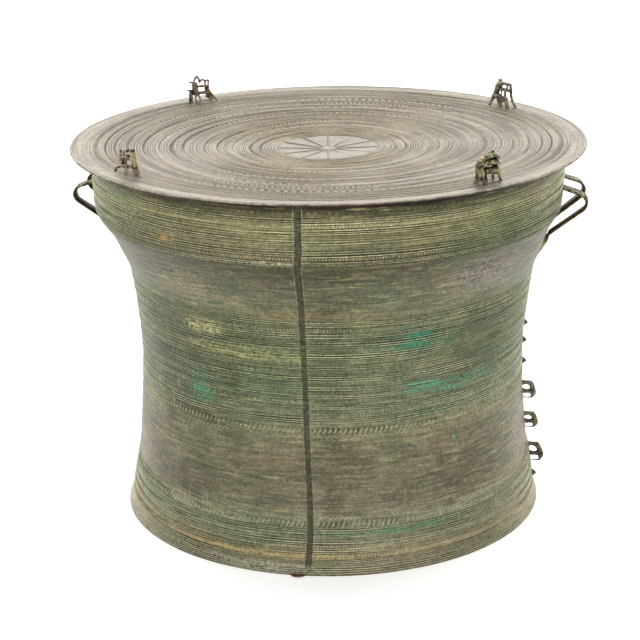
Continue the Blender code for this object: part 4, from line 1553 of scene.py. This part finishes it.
# Crown, body, recess, warm patches, top, and where the top begins above the rim
FIGURE_TINTS = {
    "front_right": ((178, 168, 132), (118, 110, 78), (16, 13, 8), (176, 160, 104), (44, 140, 88), 0.0318),
    "back_right": ((180, 168, 148), (122, 110, 92), (20, 15, 10), (152, 118, 82), (134, 132, 100), 0.0320),
    "back_left": ((158, 144, 118), (96, 88, 68), (20, 16, 14), (186, 142, 88), (52, 104, 72), 0.0335),
    "front_left": ((188, 174, 146), (140, 122, 92), (20, 15, 9), (204, 150, 92), (66, 60, 50), 0.0255),
    "animals": ((124, 116, 92), (74, 68, 52), (20, 18, 12), (96, 84, 58), None, None),
    "shells": ((92, 96, 82), (52, 56, 46), (20, 22, 17), (70, 72, 54), None, None),
    "straps": ((196, 183, 150), (116, 105, 79), (28, 24, 15), (150, 137, 101), None, None),
}


def figure_finish(name, kind):
    """Handled bronze: light worn crowns, brown body colour and black recesses, with painted shade where
    the forms hem each other in.
    """
    crown_tint, body_tint, recess_tint, warm_tint, top_tint, top = FIGURE_TINTS[kind]
    metallic, specular = (0.25, 0.04) if kind == "straps" else (0.35, 0.40)
    finish = Finish(name, metallic, specular)
    mottled = finish.noise(150.0, 5.0, 0.62, distortion=0.5)
    patchy = finish.noise(60.0, 3.0, 0.6)
    blotchy = finish.noise(95.0, 3.0, 0.6, distortion=0.4)
    grain = finish.noise(900.0, 3.0, 0.6)
    tone = finish.value("tone")
    height = finish.axis("Z")
    deep = 0.97
    shades = finish.mix(mottled.ease(0.40, 0.60), body_tint, crown_tint)
    colour = finish.mix(0.65, body_tint, shades)
    colour = finish.mix(tone.ease(0.25, 0.95) * 0.65, colour, crown_tint)
    colour = finish.mix(blotchy.ease(0.52, 0.62) * 0.75, colour, warm_tint)
    if top:
        start = RIM_TOP + top
        share = height.ease(start, start + 1.5 * MM) * blotchy.ease(0.36, 0.46)
        colour = finish.mix(share, colour, top_tint)
        foot = height.ease(RIM_TOP + 3.0 * MM, RIM_TOP - 1.0 * MM) * 0.6
        colour = finish.mix(foot, colour, (172, 172, 132))
    elif kind == "straps":
        olive = finish.mix(tone.ease(-0.7, 0.3), (56, 41, 23), (116, 98, 61))
        colour = finish.mix(height.ease(0.4240, 0.4130) * 0.86, colour, olive)
        tail = height.ease(0.3680, 0.3560) * 0.8
        colour = finish.mix(tail, colour, finish.mix(mottled, (124, 110, 62), (184, 172, 112)))
        deep = 0.40 - tail * 0.5
        recess_tint = finish.mix(tail, recess_tint, (108, 96, 54))
    colour = finish.mix(patchy.ease(0.50, 0.62) * 0.45, colour, recess_tint)
    spotted = 0.54 if kind == "front_right" else 0.50
    colour = finish.mix(mottled.ease(spotted, spotted - 0.09) * 0.80, colour, recess_tint)
    colour = finish.mix(tone.ease(0.10, -0.60) * deep, colour, recess_tint)
    return finish.surface(colour, mottled * 0.30 + 0.30, grain * 0.5 + mottled, 0.22 * MM, 0.7)


def spill_finish(name):
    """Dark red-brown oxide on the spill at the foot."""
    finish = Finish(name, metallic=0.2)
    mottled = finish.noise(240.0, 4.0, 0.6)
    colour = finish.mix(mottled.ease(0.36, 0.62), (58, 26, 22), (112, 66, 50))
    return finish.surface(colour, mottled * 0.3 + 0.45, mottled, 0.3 * MM, 0.8)


def paper_finish(name):
    """White paper lit from all round."""
    finish = Finish(name, metallic=0.0, specular=0.2)
    finish.shader.inputs["Emission Color"].default_value = (1.0, 1.0, 1.0, 1.0)
    finish.shader.inputs["Emission Strength"].default_value = 0.42
    fibre = finish.noise(40.0, 2.0)
    colour = finish.mix(fibre, (243.4, 243.4, 243.4), (247.0, 247.0, 247.0))
    return finish.surface(colour, 0.9)


# Studio

# The camera's azimuth, which the lights and the walls follow
DRUM_TURN = 7.0
FLOOR_HALF = 14.0
LIGHT_AIM = Vector((0.0, 0.0, 0.25))


def make_camera(studio):
    """The camera in front of the drum, a little to the right of its front seam."""
    data = bpy.data.cameras.new("camera")
    data.lens = studio.lens
    data.sensor_width = 36.0
    data.clip_start, data.clip_end = 0.05, 60.0
    camera = shown("camera", data)
    camera.matrix_world = (
        Matrix.Rotation(math.radians(DRUM_TURN), 4, "Z")
        @ Matrix.Translation((0.0, -studio.distance, studio.height))
        @ Matrix.Rotation(studio.pan, 4, "Z")
        @ Matrix.Rotation(math.radians(90.0) - studio.tilt, 4, "X")
        @ Matrix.Rotation(studio.roll, 4, "Z")
    )
    bpy.context.scene.camera = camera


def make_light(name, azimuth, distance, height, size, power):
    """A square soft light at an azimuth from the camera's side, facing the drum's middle."""
    data = bpy.data.lights.new(name, "AREA")
    data.shape = "SQUARE"
    data.size = size
    data.energy = power
    light = shown(name, data)
    angle = math.radians(azimuth + DRUM_TURN)
    place = Vector((distance * math.sin(angle), -distance * math.cos(angle), height))
    light.location = place
    light.rotation_euler = (LIGHT_AIM - place).to_track_quat("-Z", "Y").to_euler()


def make_floor():
    """A white sheet of paper that runs out of sight on every side."""
    corners = [(x * FLOOR_HALF, y * FLOOR_HALF, 0) for x, y in ((-1, -1), (1, -1), (1, 1), (-1, 1))]
    mesh = bpy.data.meshes.new("paper_floor")
    mesh.from_pydata(corners, [], [(0, 1, 2, 3)])
    mesh.materials.append(paper_finish("white_paper"))
    floor = shown("paper_floor", mesh)


def make_world(studio):
    """White studio walls: dim beside the drum and bright behind it."""
    world = bpy.data.worlds.new("studio")
    world.use_nodes = True
    bpy.context.scene.world = world
    nodes = Nodes(world.node_tree)
    turn = (0.0, 0.0, math.radians(-DRUM_TURN))
    place = nodes.node("ShaderNodeTexCoord", "Generated")
    place = nodes.node("ShaderNodeMapping", "Vector", {"Vector": place, "Rotation": turn})
    behind = nodes.node("ShaderNodeSeparateXYZ", "Y", {0: place})
    above = nodes.node("ShaderNodeSeparateXYZ", "Z", {0: place})
    walls = behind.ease(0.15, 0.7, studio.front_wall, studio.back_wall)
    ceiling = above.ease(0.35, 0.95, 1.0, studio.ceiling)
    background = world.node_tree.nodes["Background"]
    background.inputs["Color"].default_value = (1.0, 1.0, 1.0, 1.0)
    nodes.feed(background.inputs["Strength"], walls * ceiling)


# Settings a user would change


# A small measure of the casting
SMALL = {"precision": 5, "unit": "LENGTH"}


def setting(name, description, default, **more):
    """A number that a user may change."""
    return FloatProperty(name=name, description=description, default=default, **more)


class DrumSizes(PropertyGroup):
    columns: IntProperty(
        name="Columns", description="Points round the mantle and the head", default=204, min=48
    )
    line_relief: setting("Line Relief", "How far the cast lines stand out", 0.60 * MM, **SMALL)
    motif_relief: setting("Motif Relief", "How far the stamped motifs stand out", 0.60 * MM, **SMALL)
    star_turn: setting("Star Turn", "Azimuth of one ray of the star, in degrees", 7.0)
    tooth_pitch: setting("Tooth Pitch", "From one tooth to the next", 2.7 * MM, min=1.0 * MM, **SMALL)
    tooth_depth: setting("Tooth Depth", "How deep the rim is nicked between its teeth", 1.0 * MM, **SMALL)
    frog_grain: setting("Frog Grain", "Size of the smallest form kept on the frogs", 0.60 * MM, **SMALL)


class StudioSettings(PropertyGroup):
    lens: setting("Lens", "Focal length in millimetres", 109.14)
    distance: setting("Distance", "From the drum's axis to the camera, level", 2.4394, unit="LENGTH")
    height: setting("Height", "Camera above the floor", 1.0533, unit="LENGTH")
    tilt: setting("Tilt", "How far the camera looks down", math.radians(18.425), subtype="ANGLE")
    pan: setting("Pan", "How far the camera turns to the left", math.radians(0.334), subtype="ANGLE")
    roll: setting("Roll", "How far the camera leans to the left", math.radians(-0.907), subtype="ANGLE")
    front_wall: setting("Front Wall", "Brightness of the walls beside the camera", 0.42)
    back_wall: setting("Back Wall", "Brightness of the wall behind the drum", 3.0)
    ceiling: setting("Ceiling", "Brightness of the ceiling against the walls", 0.8)
    overhead: setting("Overhead", "Power of the soft light above", 25.0, unit="POWER")
    fill: setting("Fill", "Power of the soft light above the camera", 36.0, unit="POWER")


# Operators


class DrumOperator:
    bl_options = {"REGISTER", "UNDO"}

    def execute(self, context):
        self.build(context.scene)
        return {"FINISHED"}


class FROGDRUM_OT_mantle(DrumOperator, Operator):
    """Build the waisted wall with its cast lines and two seams"""

    bl_idname = "frog_drum.mantle"
    bl_label = "Mantle"

    def build(self, scene):
        make_mantle(scene.frog_drum)


class FROGDRUM_OT_mantle_motifs(DrumOperator, Operator):
    """Stamp the bands of motifs round the mantle"""

    bl_idname = "frog_drum.mantle_motifs"
    bl_label = "Mantle Motifs"

    def build(self, scene):
        make_mantle_motifs(scene.frog_drum)


class FROGDRUM_OT_head(DrumOperator, Operator):
    """Build the dished head with its rings"""

    bl_idname = "frog_drum.head"
    bl_label = "Head"

    def build(self, scene):
        make_head(scene.frog_drum)


class FROGDRUM_OT_head_motifs(DrumOperator, Operator):
    """Stamp the star and the bands of motifs on the head"""

    bl_idname = "frog_drum.head_motifs"
    bl_label = "Star and Head Motifs"

    def build(self, scene):
        make_head_motifs(scene.frog_drum)


class FROGDRUM_OT_rim_edge(DrumOperator, Operator):
    """Build the rim with its row of fine teeth"""

    bl_idname = "frog_drum.rim_edge"
    bl_label = "Rim Edge"

    def build(self, scene):
        make_rim_edge(scene.frog_drum)


class FROGDRUM_OT_handles(DrumOperator, Operator):
    """Build the four plaited strap handles"""

    bl_idname = "frog_drum.handles"
    bl_label = "Strap Handles"

    def build(self, scene):
        finish = figure_finish("strap_patina", "straps")
        for number, azimuth in enumerate(HANDLE_AZIMUTHS, 1):
            make_handle(f"strap_handle_{number}", azimuth, finish)


class FROGDRUM_OT_frogs(DrumOperator, Operator):
    """Model the four stacks of three frogs"""

    bl_idname = "frog_drum.frogs"
    bl_label = "Frogs"

    def build(self, scene):
        make_frogs(scene.frog_drum.frog_grain)


class FROGDRUM_OT_animals(DrumOperator, Operator):
    """Model the elephants and snails down one side, and the spill at the foot"""

    bl_idname = "frog_drum.animals"
    bl_label = "Elephants and Snails"

    def build(self, scene):
        finish = figure_finish("animal_patina", "animals")
        shells = figure_finish("shell_patina", "shells")
        for number, (height, length, proud) in enumerate(ELEPHANTS, 1):
            make_elephant(number, height, length, proud, finish)
        for number, height in enumerate(SNAIL_HEIGHTS, 1):
            make_snail(number, height, shells)
        make_foot_lump()


class FROGDRUM_OT_studio(DrumOperator, Operator):
    """Set the floor, the lights and the camera"""

    bl_idname = "frog_drum.studio"
    bl_label = "Studio"

    def build(self, scene):
        studio = scene.frog_drum_studio
        make_camera(studio)
        make_floor()
        make_world(studio)
        make_light("overhead_softbox", 180.0, 0.4, 2.6, 2.6, studio.overhead)
        make_light("camera_fill", 2.0, 3.2, 1.6, 1.2, studio.fill)
        scene.view_settings.view_transform = "Standard"


class FROGDRUM_PT_panel(Panel):
    """Steps that build the drum, in order, with their settings"""

    bl_idname = "FROGDRUM_PT_panel"
    bl_label = "Frog Drum"
    bl_space_type = "VIEW_3D"
    bl_region_type = "UI"
    bl_category = "Frog Drum"

    def draw(self, context):
        for settings in (context.scene.frog_drum, context.scene.frog_drum_studio):
            column = self.layout.column(align=True)
            for name in settings.__annotations__:
                column.prop(settings, name)
        column = self.layout.column(align=True)
        for step in STEPS:
            column.operator(step.bl_idname)


STEPS = (
    FROGDRUM_OT_mantle,
    FROGDRUM_OT_mantle_motifs,
    FROGDRUM_OT_head,
    FROGDRUM_OT_head_motifs,
    FROGDRUM_OT_rim_edge,
    FROGDRUM_OT_handles,
    FROGDRUM_OT_frogs,
    FROGDRUM_OT_animals,
    FROGDRUM_OT_studio,
)
CLASSES = (DrumSizes, StudioSettings, *STEPS, FROGDRUM_PT_panel)


def register():
    for made in CLASSES:
        bpy.utils.register_class(made)
    bpy.types.Scene.frog_drum = PointerProperty(type=DrumSizes)
    bpy.types.Scene.frog_drum_studio = PointerProperty(type=StudioSettings)


def unregister():
    del bpy.types.Scene.frog_drum_studio
    del bpy.types.Scene.frog_drum
    for made in reversed(CLASSES):
        bpy.utils.unregister_class(made)


def main():
    register()
    for step in STEPS:
        area, name = step.bl_idname.split(".")
        getattr(getattr(bpy.ops, area), name)()


if __name__ == "__main__":
    main()
